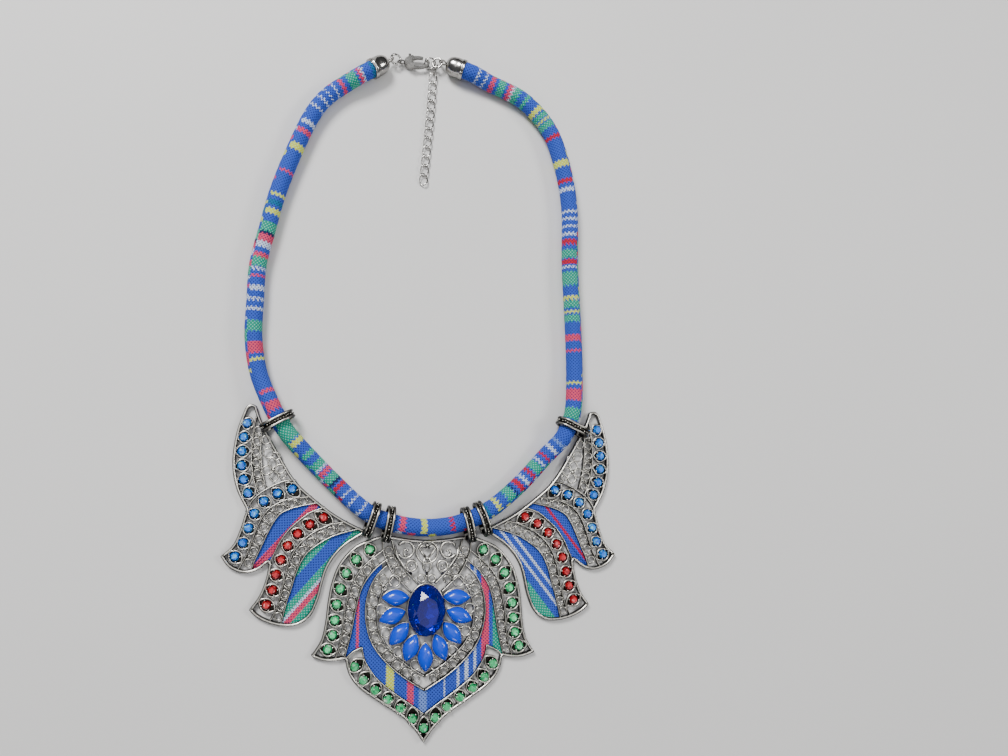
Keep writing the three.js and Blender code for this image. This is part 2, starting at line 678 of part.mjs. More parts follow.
// Middle plate, made of a left and a right half about x = 0
function centrePlate(bails) {
  const halves = [-1, 1].map(side => {
    const spot = ([u, v]) => plateSpots.centre([side * u, v])
    const curves = {}
    for (const [name, rows] of Object.entries(centreCurves)) curves[name] = spline(rows.map(spot))
    return { side, spot, curves }
  })
  const edge = halves.map(({ curves }) => [
    ...along(curves.bar, 0, 0.9),
    ...along(curves.sideOuter, 0, 1),
    ...along(curves.flareFoot, 0.1, 0.93),
    ...along(curves.footOuter, 0.04, 1),
  ])
  const outline = [...edge[0], ...edge[1].slice(1, -1).reverse()]
  const rims = []
  const stones = []
  const gaps = []
  for (const { side, spot, curves } of halves) {
    const band = (outer, inner, near, far) => ({ outer: curves[outer], inner: curves[inner], near, far })
    const bands = {
      side: band('sideOuter', 'sideInner', rimInside, rimCentred),
      foot: band('footOuter', 'footInner', rimInside, rimCentred),
      sideScroll: band('sideInner', 'sideScroll', rimCentred, rimCentred),
      ring: band('ringOuter', 'ringInner', rimCentred, rimCentred),
      v: band('vOuter', 'vInner', rimCentred, rimCentred),
    }
    rims.push(
      rimAlong(along(curves.sideInner, 0.03, 0.97)),
      rimAlong(along(curves.sideScroll, 0.02, 0.95)),
      rimAlong(along(curves.ringOuter, 0, 1)),
      rimAlong(along(curves.ringInner, 0, 1)),
      rimAlong(along(curves.footInner, 0.02, 1)),
      rimAlong(along(curves.footTop, 0.08, 0.96)),
      rimAlong(along(curves.vOuter, 0.05, 1)),
      rimAlong(along(curves.vInner, 0, 1)),
    )
    for (const [name, row] of Object.entries(centreStoneRows)) {
      const places = stonePlaces(row)
      places.forEach((s, i) => {
        stones.push(bandPoint(bands[name], s, row[2]))
        if (i > 0) gaps.push(eyeGap(bands[name], places[i - 1], s, row[2]))
      })
    }
    gaps.push(eyeGap(bands.foot, centreStoneRows.foot[1], lowestGapEnd, centreStoneRows.foot[2]))
    gaps.push(...scrollGaps(bands.sideScroll, centreScrollRows.side))
    gaps.push(...scrollGaps(bands.ring, centreScrollRows.ring))
    gaps.push(...scrollGaps(bands.v, centreScrollRows.v))
    for (const [u, v, halfWidth, halfHeight] of lyreLoops) {
      gaps.push(ovalLoop(...spot([u, v]), halfWidth, halfHeight, 0, gapSides))
    }
    gaps.push(fieldGap.map(spot))
  }
  // The lowest stone sits on the axis, with a gap on each side of it.
  const left = halves[0].curves
  const foot = { outer: left.footOuter, inner: left.footInner, near: rimInside, far: rimCentred }
  stones.push(bandPoint(foot, 1, lowestStoneAcross))
  // Gaps between neighbouring petals, towards the ring.
  const oval = plateSpots.centre(ovalCentre)
  for (let i = 0; i + 1 < petals.length; i++) {
    const a = petals[i]
    const b = petals[i + 1]
    const inner = mix(oval, mix(a.centre, b.centre, 0.5), 1.02)
    const outer = mix(oval, mix(a.tip, b.tip, 0.5), petalGapReach)
    gaps.push([inner, mix(outer, a.tip, petalGapSpread), outer, mix(outer, b.tip, petalGapSpread)])
  }
  const collarOuter = ovalLoop(...oval, ovalHalfWidth + seatGap, ovalHalfHeight + seatGap, 0, ovalSides)
  const collar = prism(collarOuter, landThickness / 2, landThickness + seatGap * 0.5)
  const window = halves.map(({ side, curves }) => [
    ...shifted(along(curves.sideScroll, 0.17, 0.92), -side * rimCentred),
    ...shifted(along(curves.footTop, 0.4, 0.9), -side * rimCentred),
    ...shifted(along(curves.footInner, 0.02, 0.97), -side * rimCentred),
  ])
  const island = halves.map(({ side, curves }) => (
    shifted(along(curves.ringOuter, 0.155, 1), side * rimCentred)
  ))
  const opening = [...window[0], ...window[1].reverse(), ...island[1], ...island[0].reverse()]
  const plate = lacePlate(outline, rims, stones, [...gaps, opening], [collar, ...bails])
  return { plate, cloth: prism(shrink(opening, clothGap), 0, clothThickness) }
}

function mix(a, b, t) {
  return [lerp(a[0], b[0], t), lerp(a[1], b[1], t)]
}

// Petals in order from the right, round the bottom, to the left.
const petalsRight = petalRows.map(([u, v, turn]) => ({ centre: plateSpots.centre([u, v]), turn }))
const petalsLeft = petalsRight.slice(0, -1).reverse()
  .map(({ centre, turn }) => ({ centre: [-centre[0], centre[1]], turn: -180 - turn }))
const petals = [...petalsRight, ...petalsLeft].map(({ centre, turn }) => {
  const tip = [
    centre[0] + Math.cos(turn * degrees) * petalLength / 2,
    centre[1] + Math.sin(turn * degrees) * petalLength / 2,
  ]
  return { centre, turn, tip }
})

// Pointed oval of two arcs, in order round the loop.
function petalLoop({ centre, turn }, scale) {
  const half = petalSides / 2
  const points = []
  for (let i = 0; i < petalSides; i++) {
    const t = (i % half) / half
    const sign = i < half ? 1 : -1
    const u = Math.cos(t * Math.PI) * sign * petalLength / 2 * scale
    const v = Math.sin(t * Math.PI) * sign * petalWidth / 2 * scale * petalBow(t)
    const c = Math.cos(turn * degrees)
    const s = Math.sin(turn * degrees)
    points.push([centre[0] + u * c - v * s, centre[1] + u * s + v * c])
  }
  return points
}

function petalBow(t) {
  return 0.72 + 0.28 * Math.sin(t * Math.PI)
}

function petalStone(petal) {
  const foot = landThickness + seatGap
  return stack(petalProfile.map(([scale, rise]) => (
    atHeight(petalLoop(petal, scale), foot + rise * petalRise)
  )))
}

function ovalStone() {
  const foot = landThickness + seatGap
  const [x, y] = plateSpots.centre(ovalCentre)
  return stack(ovalProfile.map(([scale, rise]) => {
    const loop = ovalLoop(x, y, ovalHalfWidth * scale, ovalHalfHeight * scale, 0, ovalSides)
    return atHeight(loop, foot + rise * ovalRise)
  }))
}

// Clasp row, from the left cap's eye to the right cap's eye
const capOuter = cordRadius + capClearance + capWall
const mouthZ = capOuter + capLift
const tan = Math.tan(capTilt * degrees)
const seats = {
  floor: cordRadius + cordLift,
  bail: bailCentreZ - bailDrop,
  mouth: mouthZ + (cordLastRoute[1][0] - capEndDepth) * tan,
  nose: mouthZ - capEndDepth * tan,
}
const vec = (x, y, z) => new THREE.Vector3(x, y, z)
const upZ = vec(0, 0, 1)
const rowDirection = vec(Math.cos(claspTurn * degrees), Math.sin(claspTurn * degrees), 0)
const rowSide = vec(-rowDirection.y, rowDirection.x, 0)
const capHollow = capEndDepth + capClearance
const eyeReach = capLength + eyeNeck - capEndDepth

const leftEnd = vec(cordRoute[0][0], cordRoute[0][1], seats.nose)
const leftSecond = vec(cordRoute[1][0], cordRoute[1][1], seats.mouth)
const leftAxis = leftEnd.clone().sub(leftSecond).normalize()
const leftEye = leftEnd.clone().addScaledVector(leftAxis, eyeReach)

// Two loops that pull on each other: their wires lie this far apart.
const pull = (wireA, wireB) => wireA + wireB + linkRunGap
const leftReach = eyeRadius * 2 + ringLeftRadius * 2 - 2 * pull(eyeWire, ringWire)
const drop = leftEye.z - claspHeight
const leftRun = Math.sqrt(leftReach ** 2 - drop ** 2) / 2
const leftStep = rowDirection.clone().multiplyScalar(Math.cos(ringLeftBend * degrees) * leftRun)
const ringBend = rowSide.clone().multiplyScalar(Math.sin(ringLeftBend * degrees) * leftRun)
const leftMiddle = leftEye.clone().add(leftStep).add(ringBend).setZ((leftEye.z + claspHeight) / 2)
const claspEye = leftEye.clone().addScaledVector(leftStep, 2).setZ(claspHeight)
const clawReach = eyeRadius + eyeWire + clawLength / 2 - clawEyeSink
const clawCentre = claspEye.clone().addScaledVector(rowDirection, clawReach)
const jawInside = clawLength / 2 - jawWidth
const hookLeft = jawInside - hookRingWire - hookRunGap
const hookCentre = clawCentre.clone().addScaledVector(rowDirection, hookLeft + ringHookRadius)
const rightRingLeft = hookLeft + ringHookRadius * 2 - pull(hookRingWire, ringWire)
const rightRingStart = clawCentre.clone().addScaledVector(rowDirection, rightRingLeft)
const capEyeZ = seats.nose - eyeReach * Math.sin(capTilt * degrees)
const rightRise = capEyeZ - claspHeight
const rightSpan = ringRightRadius * 2
const rightReach = rightSpan + eyeRadius - pull(eyeWire, ringWire)
const rightRun = Math.sqrt(rightReach ** 2 - rightRise ** 2)
const rightUp = rowDirection.clone().multiplyScalar(rightRun).setZ(rightRise).normalize()
const rightCentre = rightRingStart.clone().addScaledVector(rightUp, ringRightRadius)
const rightEye = rightRingStart.clone().addScaledVector(rightUp, rightReach)
const rightFlat = vec(Math.cos(rightCapTurn * degrees), Math.sin(rightCapTurn * degrees), 0)
const rightAxis = rightFlat.clone().multiplyScalar(-Math.cos(capTilt * degrees))
  .setZ(-Math.sin(capTilt * degrees))
const rightEnd = rightEye.clone().addScaledVector(rightAxis, -eyeReach)

function ring(centre, across, up, radius, wire) {
  return wireLoop(centre, across, up, radius, radius, wire, ringSteps, wireSides)
}

function capPiece(end, axis) {
  const inner = cordRadius + capClearance
  const profile = [
    [0, capHollow], [inner, capHollow], [inner, 0], [capOuter, 0], [capOuter, capLip],
    [capOuter - capGrooveDepth, capLip * 1.4], [capOuter - capGrooveDepth, capLength * 0.62],
    [capOuter * 0.8, capLength * 0.84], [eyeWire * 1.8, capLength],
    [eyeWire * 1.4, capLength + eyeNeck - eyeRadius], [0, capLength + eyeNeck - eyeRadius],
  ]
  const lathe = new THREE.LatheGeometry(profile.map(([r, h]) => new THREE.Vector2(r, h)), capSides)
  const turned = new THREE.Quaternion().setFromUnitVectors(vec(0, 1, 0), axis)
  const mouth = end.clone().addScaledVector(axis, -capEndDepth)
  lathe.applyQuaternion(turned)
  lathe.translate(mouth.x, mouth.y, mouth.z)
  const eye = end.clone().addScaledVector(axis, eyeReach)
  return toSolid(lathe).add(ring(eye, vertical(axis), axis.clone(), eyeRadius, eyeWire))
}

// Direction square to an axis, in the upright plane that holds it.
function vertical(axis) {
  const level = vec(-axis.y, axis.x, 0).normalize()
  return new THREE.Vector3().crossVectors(axis, level).normalize()
}

function cordPiece() {
  const points = cordRoute.map(([x, y, rest]) => {
    const end = bailEnds[rest]
    return end ? vec(end[0] + x, end[1] + y, seats.bail) : vec(x, y, seats[rest])
  })
  for (const [distance, seat] of cordLastRoute) {
    points.push(rightEnd.clone().addScaledVector(rightFlat, distance).setZ(seats[seat]))
  }
  const path = new THREE.CatmullRomCurve3(points, false, 'centripetal')
  const ring = ovalLoop(0, 0, cordRadius, cordRadius, 0, cordSides)
  const shape = new THREE.Shape(ring.map(([x, y]) => new THREE.Vector2(x, y)))
  const options = { steps: cordSteps, extrudePath: path, bevelEnabled: false }
  return toSolid(new THREE.ExtrudeGeometry(shape, options))
}

// Lobster claw, drawn about its centre with +X towards the hook and +Y towards the lever
const clawHalf = clawLength / 2
const clawSide = clawWidth / 2
const cavityX = (clawHalf - jawWidth + cavityLeft) / 2
const cavityHalf = clawHalf - jawWidth - cavityX
const cavitySide = clawSide - jawWidth
const pivot = [-clawHalf * 0.54, clawSide * 0.36]
const knuckle = clawWidth * 0.2
const leverThickness = clawThickness - 2 * cheekThickness - 2 * leverClearance

function ellipseArc(cx, a, b, from, to, steps) {
  const points = []
  for (let i = 0; i <= steps; i++) {
    const angle = lerp(from, to, i / steps) * degrees
    points.push([cx + Math.cos(angle) * a, Math.sin(angle) * b])
  }
  return points
}

// Prism in the claw's own frame, set in its place in the row.
function clawPrism(points, low, high) {
  const geometry = prismGeometry(points, low, high)
  geometry.rotateZ(claspTurn * degrees)
  geometry.translate(clawCentre.x, clawCentre.y, clawCentre.z)
  return toSolid(geometry)
}

function ellipseArcAt([x, y], radius, from, to, steps) {
  return ellipseArc(0, radius, radius, from, to, steps).map(([u, v]) => [x + u, y + v])
}

function clawBody() {
  const jaw = clawPrism([
    ...ellipseArc(0, clawHalf, clawSide, 50, -130, 10),
    ...ellipseArc(cavityX, cavityHalf, cavitySide, -150, 46, 9),
  ], -jawThickness / 2, jawThickness / 2)
  const cheek = clawThickness / 2
  const block = clawPrism(ellipseArc(0, clawHalf, clawSide, 107, 253, 8), -cheek, cheek)
  const room = leverThickness / 2 + leverClearance
  const slot = clawPrism([
    [pivot[0] - knuckle - leverClearance, clawWidth],
    ...ellipseArcAt(pivot, knuckle + leverClearance, 180, 300, 4),
    [clawHalf, pivot[1] - knuckle * 0.9], [clawHalf, clawWidth],
  ], -room, room)
  const cavityLoop = ellipseArc(cavityX, cavityHalf, cavitySide, 0, 330, 11)
  const cavity = clawPrism(cavityLoop, -clawThickness, clawThickness)
  const pinReach = room + cheekThickness / 2
  const pin = clawPrism(ellipseArcAt(pivot, pinRadius, 0, 300, 5), -pinReach, pinReach)
  const eye = ring(claspEye, upZ, rowDirection.clone(), eyeRadius, eyeWire)
  return join([block.subtract(slot).subtract(cavity).add(pin), jaw, eye])
}

function clawLever() {
  const half = leverThickness / 2
  const arm = clawPrism([
    ...ellipseArc(0, clawHalf, clawSide, 60, 118, 5),
    ...ellipseArc(cavityX, cavityHalf, cavitySide, 150, 62, 5),
  ], -half, half)
  const root = clawPrism(ellipseArcAt(pivot, knuckle, 0, 324, 9), -half, half)
  const tab = clawPrism([
    [pivot[0] - knuckle * 0.5, pivot[1]], [pivot[0] + knuckle * 0.7, pivot[1]],
    [pivot[0] + knuckle * 0.4, clawSide + leverTab], [pivot[0] - knuckle * 0.5, clawSide + leverTab],
  ], -half, half)
  const boreLoop = ellipseArcAt(pivot, pinRadius + leverClearance, 0, 315, 7)
  const bore = clawPrism(boreLoop, -clawThickness, clawThickness)
  return join([arm, root, tab]).subtract(bore)
}

// Chain: a small upright link, then twisted links along the route
const linkLength = chainPitch + chainWire * 2 + chainGap
const chainZ = chainTwist + chainWire + floorLift / 2
const chainPath = new THREE.CatmullRomCurve3(chainRoute.map(([x, y]) => vec(x, y, chainZ)))

function chainPieces() {
  const solids = []
  const total = chainPath.getLength()
  const start = chainPath.getPointAt(0)
  const startUp = chainPath.getTangentAt(0).negate()
  const lower = start.clone().addScaledVector(startUp, linkLength / 2 - chainWire * 2 - chainGap)
  const held = rightCentre.clone()
    .addScaledVector(rightUp, Math.cos(connectorTurn * degrees) * ringRightRadius)
    .addScaledVector(rowSide, Math.sin(connectorTurn * degrees) * ringRightRadius)
  const half = (held.distanceTo(lower) + pull(ringWire, chainWire)) / 2
  const up = held.clone().sub(lower).normalize()
  const middle = lower.clone().addScaledVector(up, half)
  solids.push(wireLoop(middle, vertical(up), up, connectorWidth / 2, half, chainWire, linkSteps, linkSides))
  for (let i = 0; i < chainLinks; i++) {
    const at = Math.min(i * chainPitch / total, 1)
    const centre = chainPath.getPointAt(at)
    const along3 = chainPath.getTangentAt(at)
    const across = vec(-along3.y, along3.x, 0)
    const link = wireLoop(centre, across, along3, chainLinkWidth / 2, linkLength / 2, chainWire, linkSteps,
      linkSides, chainTwist)
    solids.push(link)
  }
  return solids
}

// The whole
const leftWing = wing(-1, plateSpots.left, [bail('leftUpper'), bail('leftLower')])
const rightWing = wing(1, plateSpots.right, [bail('rightUpper'), bail('rightLower')])
const middlePlate = centrePlate([bail('centreLeft'), bail('centreRight')])
addPiece('centre_plate', middlePlate.plate, silver)
addPiece('left_wing', leftWing.plate, silver)
addPiece('right_wing', rightWing.plate, silver)
addPiece('centre_cloth', middlePlate.cloth, woven)
leftWing.cloths.forEach((solid, i) => addPiece(`left_cloth_${i + 1}`, solid, woven))
rightWing.cloths.forEach((solid, i) => addPiece(`right_cloth_${i + 1}`, solid, woven))
addPiece('centre_stone', ovalStone(), royal)
petals.forEach((petal, i) => addPiece(`petal_stone_${i + 1}`, petalStone(petal), azure))
addPiece('cord', cordPiece(), woven)
addPiece('cap_left', capPiece(leftEnd, leftAxis), bright)
addPiece('cap_right', capPiece(rightEnd, rightAxis), bright)

const leftUp = claspEye.clone().sub(leftEye).normalize()
const hookUp = rowSide.clone().multiplyScalar(Math.sin(ringTilt * degrees)).setZ(Math.cos(ringTilt * degrees))
addPiece('ring_left', ring(leftMiddle, rowSide, leftUp, ringLeftRadius, ringWire), bright)
addPiece('ring_hook', ring(hookCentre, hookUp, rowDirection.clone(), ringHookRadius, hookRingWire), bright)
addPiece('ring_right', ring(rightCentre, rowSide, rightUp, ringRightRadius, ringWire), bright)
addPiece('clasp_body', clawBody(), bright)
addPiece('clasp_lever', clawLever(), bright)
chainPieces().forEach((solid, i) => {
  addPiece(i === 0 ? 'chain_connector' : `chain_link_${String(i).padStart(2, '0')}`, solid, bright)
})

// The origin lies under the middle of the whole, on the floor.
const bounds = new THREE.Box3().setFromObject(group)
const middleX = (bounds.min.x + bounds.max.x) / 2
const middleY = (bounds.min.y + bounds.max.y) / 2
group.children.forEach(piece => piece.geometry.translate(-middleX, -middleY, 0))

export default group
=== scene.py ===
import bpy
import math
import random
from bisect import bisect_right
from mathutils import Matrix, Vector


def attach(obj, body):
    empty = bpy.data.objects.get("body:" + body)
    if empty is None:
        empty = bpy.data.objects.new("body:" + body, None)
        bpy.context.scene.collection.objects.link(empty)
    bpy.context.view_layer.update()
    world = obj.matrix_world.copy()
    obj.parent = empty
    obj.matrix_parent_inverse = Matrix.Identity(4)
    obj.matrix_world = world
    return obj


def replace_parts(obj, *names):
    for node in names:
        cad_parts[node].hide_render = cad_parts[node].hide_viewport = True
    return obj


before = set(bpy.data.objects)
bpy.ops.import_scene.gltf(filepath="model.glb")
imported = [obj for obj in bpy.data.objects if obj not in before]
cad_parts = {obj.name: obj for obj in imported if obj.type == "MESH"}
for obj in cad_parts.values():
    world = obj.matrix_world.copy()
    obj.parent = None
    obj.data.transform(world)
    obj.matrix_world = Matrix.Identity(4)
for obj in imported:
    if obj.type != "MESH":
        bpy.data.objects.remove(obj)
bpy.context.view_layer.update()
print("frame loaded")

# Drawing units are millimetres about the middle plate's axis; drawMiddle moves them into the frame.
mm = 0.001
drawMiddle = (-0.45, 23.586)
rng = random.Random(7)


# Camera at the photo's angle, and a soft studio round it.
view = {
    "place": (-37.06, -25.74, 256.33), "right": (0.98936, 0.01976, 0.14413),
    "up": (-0.03468, 0.9942, 0.10179), "forward": (0.14129, 0.10571, -0.98431),
    "lens": 25.0, "sensor": 36.0, "shift": 0.0754, "nearest": 0.01, "farthest": 20.0,
}


def makeCamera():
    data = bpy.data.cameras.new("camera")
    data.lens, data.sensor_width, data.shift_x = view["lens"], view["sensor"], view["shift"]
    data.clip_start, data.clip_end = view["nearest"], view["farthest"]
    cam = bpy.data.objects.new("camera", data)
    right, up, back = Vector(view["right"]), Vector(view["up"]), -Vector(view["forward"])
    turn = Matrix((right, up, back)).transposed().to_4x4()
    cam.matrix_world = Matrix.Translation(Vector(view["place"]) * mm) @ turn
    bpy.context.scene.collection.objects.link(cam)
    bpy.context.scene.camera = cam
    print("camera made")


# Each lamp: place, size, power.
studio = {
    "floorColour": (0.74, 0.73, 0.72), "floorHalf": 4.0, "floorSink": 0.00005, "floorRoughness": 0.9,
    "worldColour": (0.86, 0.89, 0.93), "worldPower": 0.09,
    "lamps": [((-0.35, 0.5, 0.6), 0.26, 9.0), ((0.0, 0.1, 1.0), 1.0, 3.2), ((0.6, 0.1, 0.5), 0.2, 2.4),
              ((0.05, -0.7, 0.45), 0.2, 1.2)],
}


def makeStudio():
    world = bpy.data.worlds.new("studio")
    world.use_nodes = True
    back = world.node_tree.nodes["Background"]
    back.inputs[0].default_value = (*studio["worldColour"], 1)
    back.inputs[1].default_value = studio["worldPower"]
    bpy.context.scene.world = world
    for i, (place, size, power) in enumerate(studio["lamps"]):
        data = bpy.data.lights.new(f"lamp{i}", "AREA")
        data.size, data.energy = size, power
        lamp = bpy.data.objects.new(f"lamp{i}", data)
        lamp.location = place
        lamp.rotation_euler = (-Vector(place)).to_track_quat("-Z", "Y").to_euler()
        bpy.context.scene.collection.objects.link(lamp)
    mesh = bpy.data.meshes.new("floor")
    half = studio["floorHalf"]
    corners = [(-half, -half, 0), (half, -half, 0), (half, half, 0), (-half, half, 0)]
    mesh.from_pydata(corners, [], [(0, 1, 2, 3)])
    floor = bpy.data.objects.new("floor", mesh)
    floor.location.z = -studio["floorSink"]
    mesh.materials.append(floorPaper())
    bpy.context.scene.collection.objects.link(floor)
    print("studio made")


# Materials.
def newMaterial(name):
    material = bpy.data.materials.new(name)
    material.use_nodes = True
    tree = material.node_tree
    return material, tree, tree.nodes["Principled BSDF"]


def feed(tree, socket, value):
    # The value is a number, a colour or another node's output.
    if isinstance(value, (int, float)):
        socket.default_value = value
    elif isinstance(value, tuple):
        socket.default_value = (*value, 1)
    else:
        tree.links.new(value, socket)


def setLook(tree, shader, values):
    for name, value in values.items():
        feed(tree, shader.inputs[name], value)


def addNode(tree, kind, **values):
    node = tree.nodes.new(kind)
    for key, value in values.items():
        if key in node.inputs:
            node.inputs[key].default_value = value
        else:
            setattr(node, key, value)
    return node


def split(tree, kind, source):
    # The parts of a place or of a colour.
    node = tree.nodes.new(kind)
    tree.links.new(source, node.inputs[0])
    return node.outputs


def colourRamp(tree, source, stops, mode="LINEAR"):
    node = tree.nodes.new("ShaderNodeValToRGB")
    node.color_ramp.interpolation = mode
    elements = node.color_ramp.elements
    while len(elements) > 1:
        elements.remove(elements[-1])
    for i, (place, colour) in enumerate(stops):
        element = elements[0] if i == 0 else elements.new(place)
        element.position = place
        element.color = (*colour, 1)
    tree.links.new(source, node.inputs[0])
    return node.outputs[0]


def roughRamp(tree, source, smooth, coarse):
    return colourRamp(tree, source, [(0.3, (smooth,) * 3), (0.7, (coarse,) * 3)])


def maths(tree, operation, *values):
    node = tree.nodes.new("ShaderNodeMath")
    node.operation = operation
    for socket, value in zip(node.inputs, values):
        feed(tree, socket, value)
    return node.outputs[0]


def mixColour(tree, factor, a, b, way="MIX"):
    node = tree.nodes.new("ShaderNodeMix")
    node.data_type, node.blend_type = "RGBA", way
    for index, value in ((0, factor), (6, a), (7, b)):
        feed(tree, node.inputs[index], value)
    return node.outputs[2]


def bumpFrom(tree, height, strength, distance):
    bump = addNode(tree, "ShaderNodeBump", Strength=strength, Distance=distance)
    tree.links.new(height, bump.inputs["Height"])
    return bump.outputs[0]


def objectPlace(tree):
    return tree.nodes.new("ShaderNodeTexCoord").outputs["Object"]


def noiseOn(tree, scale, detail):
    # Noise that stays with the piece.
    noise = addNode(tree, "ShaderNodeTexNoise", Scale=scale, Detail=detail)
    tree.links.new(objectPlace(tree), noise.inputs["Vector"])
    return noise.outputs["Fac"]


def floorPaper():
    material, tree, shader = newMaterial("floorPaper")
    colour = studio["floorColour"]
    noise = addNode(tree, "ShaderNodeTexNoise", Scale=60.0)
    tone = colourRamp(tree, noise.outputs["Fac"], [(0.3, tuple(c * 0.97 for c in colour)), (0.7, colour)])
    setLook(tree, shader, {"Base Color": tone, "Roughness": studio["floorRoughness"]})
    return material


# Old silver tones by height above the floor in metres (low, half, high): the dark tones are oxide plus painted shade
# in the hollows, the light tones rubbed wear plus painted light on the tops; sides is the depth of the painted side
# shade.
silverLook = {
    "dark": (0.012, 0.011, 0.01), "middle": (0.13, 0.118, 0.098), "light": (0.80, 0.77, 0.70),
    "low": 0.0003, "half": 0.0012, "high": 0.0020, "wobble": 0.16, "roughness": (0.26, 0.42),
    "grain": 900.0, "sides": 0.05, "bump": (0.06, 0.0001),
}
# Polished silver: random dull and light tones; sides is the depth of the painted side shade.
polishedLook = {
    "dull": (0.55, 0.53, 0.50), "light": (0.84, 0.82, 0.79), "roughness": (0.16, 0.26),
    "grain": 180.0, "sides": 0.4,
}


def paintedSideShade(tree, colour, depth):
    # Painted shade: the metal is darkened where it turns away from the camera, a painted dark reflection along its
    # sides.
    facing = addNode(tree, "ShaderNodeLayerWeight", Blend=0.5)
    shade = colourRamp(tree, facing.outputs["Facing"], [(0.04, (1.0,) * 3), (0.42, (depth,) * 3)])
    return mixColour(tree, 1.0, colour, shade, "MULTIPLY")


def castSilver(name, byHeight=True, share=0.5):
    # Old silver, toned by height: dark in the hollows for oxide plus painted shade, bright on the rims for rubbed
    # wear plus painted light on the tops; without heights it has one fixed share of that tone.
    material, tree, shader = newMaterial(name)
    low, middle, high = silverLook["low"], silverLook["half"], silverLook["high"]
    noise = noiseOn(tree, silverLook["grain"], 4.0)
    if byHeight:
        height = split(tree, "ShaderNodeSeparateXYZ", objectPlace(tree))[2]
        share = maths(tree, "DIVIDE", maths(tree, "SUBTRACT", height, low), high - low)
    wobble = maths(tree, "SUBTRACT", noise, 0.5)
    shine = maths(tree, "MULTIPLY_ADD", wobble, silverLook["wobble"], share)
    half = (middle - low) / (high - low)
    stops = [(0.0, silverLook["dark"]), (half, silverLook["middle"]), (1.0, silverLook["light"])]
    tone = colourRamp(tree, shine, stops)
    setLook(tree, shader, {
        "Base Color": paintedSideShade(tree, tone, silverLook["sides"]), "Metallic": 1.0,
        "Roughness": roughRamp(tree, noise, *silverLook["roughness"]),
        "Normal": bumpFrom(tree, noise, *silverLook["bump"]),
    })
    return material


def brightSilver():
    material, tree, shader = newMaterial("polishedSilver")
    noise = noiseOn(tree, polishedLook["grain"], 3.0)
    tone = colourRamp(tree, noise, [(0.3, polishedLook["dull"]), (0.65, polishedLook["light"])])
    setLook(tree, shader, {
        "Base Color": paintedSideShade(tree, tone, polishedLook["sides"]), "Metallic": 1.0,
        "Roughness": roughRamp(tree, noise, *polishedLook["roughness"]),
    })
    return material


# Stones: deep, middle and spark colour, patch in mm, metallic, roughness, coat. The facet patches paint the light on
# the stone: deep is painted facet shade, spark a painted glint.
stoneLooks = {
    "skyStone": ((0.0, 0.07, 0.65), (0.0, 0.25, 1.0), (0.3, 0.85, 1.0), 0.8, 0.45, 0.07, 0.8),
    "redStone": ((0.22, 0.0, 0.01), (0.72, 0.01, 0.02), (1.0, 0.35, 0.35), 0.8, 0.55, 0.07, 0.8),
    "greenStone": ((0.01, 0.38, 0.12), (0.10, 0.90, 0.34), (0.7, 1.0, 0.8), 0.8, 0.45, 0.07, 0.8),
    "azureStone": ((0.0, 0.045, 0.60), (0.0, 0.055, 0.70), (0.0, 0.065, 0.76), 6.0, 0.0, 0.25, 0.2),
    "ovalFoil": ((0.0, 0.0, 0.03), (0.0, 0.01, 0.6), (0.03, 0.08, 1.0), 2.0, 0.85, 0.12, 0.8),
}
glassLook = {
    "Base Color": (0.004, 0.005, 0.50), "Transmission Weight": 0.8, "Roughness": 0.02,
    "Specular IOR Level": 0.3, "IOR": 1.52,
}


def cutStone(name):
    paintedFacetShade, middle, paintedFacetGlint, patch, metallic, roughness, coat = stoneLooks[name]
    material, tree, shader = newMaterial(name)
    # Random facet patches carry painted shade, the body colour and painted glints.
    cells = addNode(tree, "ShaderNodeTexVoronoi", Scale=1 / (patch * mm))
    tree.links.new(objectPlace(tree), cells.inputs["Vector"])
    tint = split(tree, "ShaderNodeSeparateColor", cells.outputs["Color"])[0]
    tone = colourRamp(tree, tint, [(0.0, paintedFacetShade), (0.45, middle), (0.8, middle), (1.0, paintedFacetGlint)])
    setLook(tree, shader, {"Base Color": tone, "Metallic": metallic, "Roughness": roughness,
                           "Coat Weight": coat, "Coat Roughness": 0.03})
    return material


def blueGlass():
    material, tree, shader = newMaterial("ovalGlass")
    setLook(tree, shader, glassLook)
    return material


threads = {
    "blue": (0.032, 0.092, 0.54), "green": (0.0, 0.29, 0.19), "pink": (0.74, 0.06, 0.14),
    "red": (0.55, 0.012, 0.03), "yellow": (0.62, 0.66, 0.06), "white": (0.60, 0.70, 0.92),
    "pale": (0.16, 0.28, 0.70), "teal": (0.01, 0.15, 0.33), "dark": (0.008, 0.02, 0.08),
}
weave = {
    "pitch": 1.28, "dot": 0.28, "bump": (0.8, 0.00018), "zigzag": 0.24, "zigzagPitch": 0.9, "reach": 60.0,
    "paleStitch": (0.45, 0.85, 0.75), "darkStitch": (0.004, 0.006, 0.10),
}


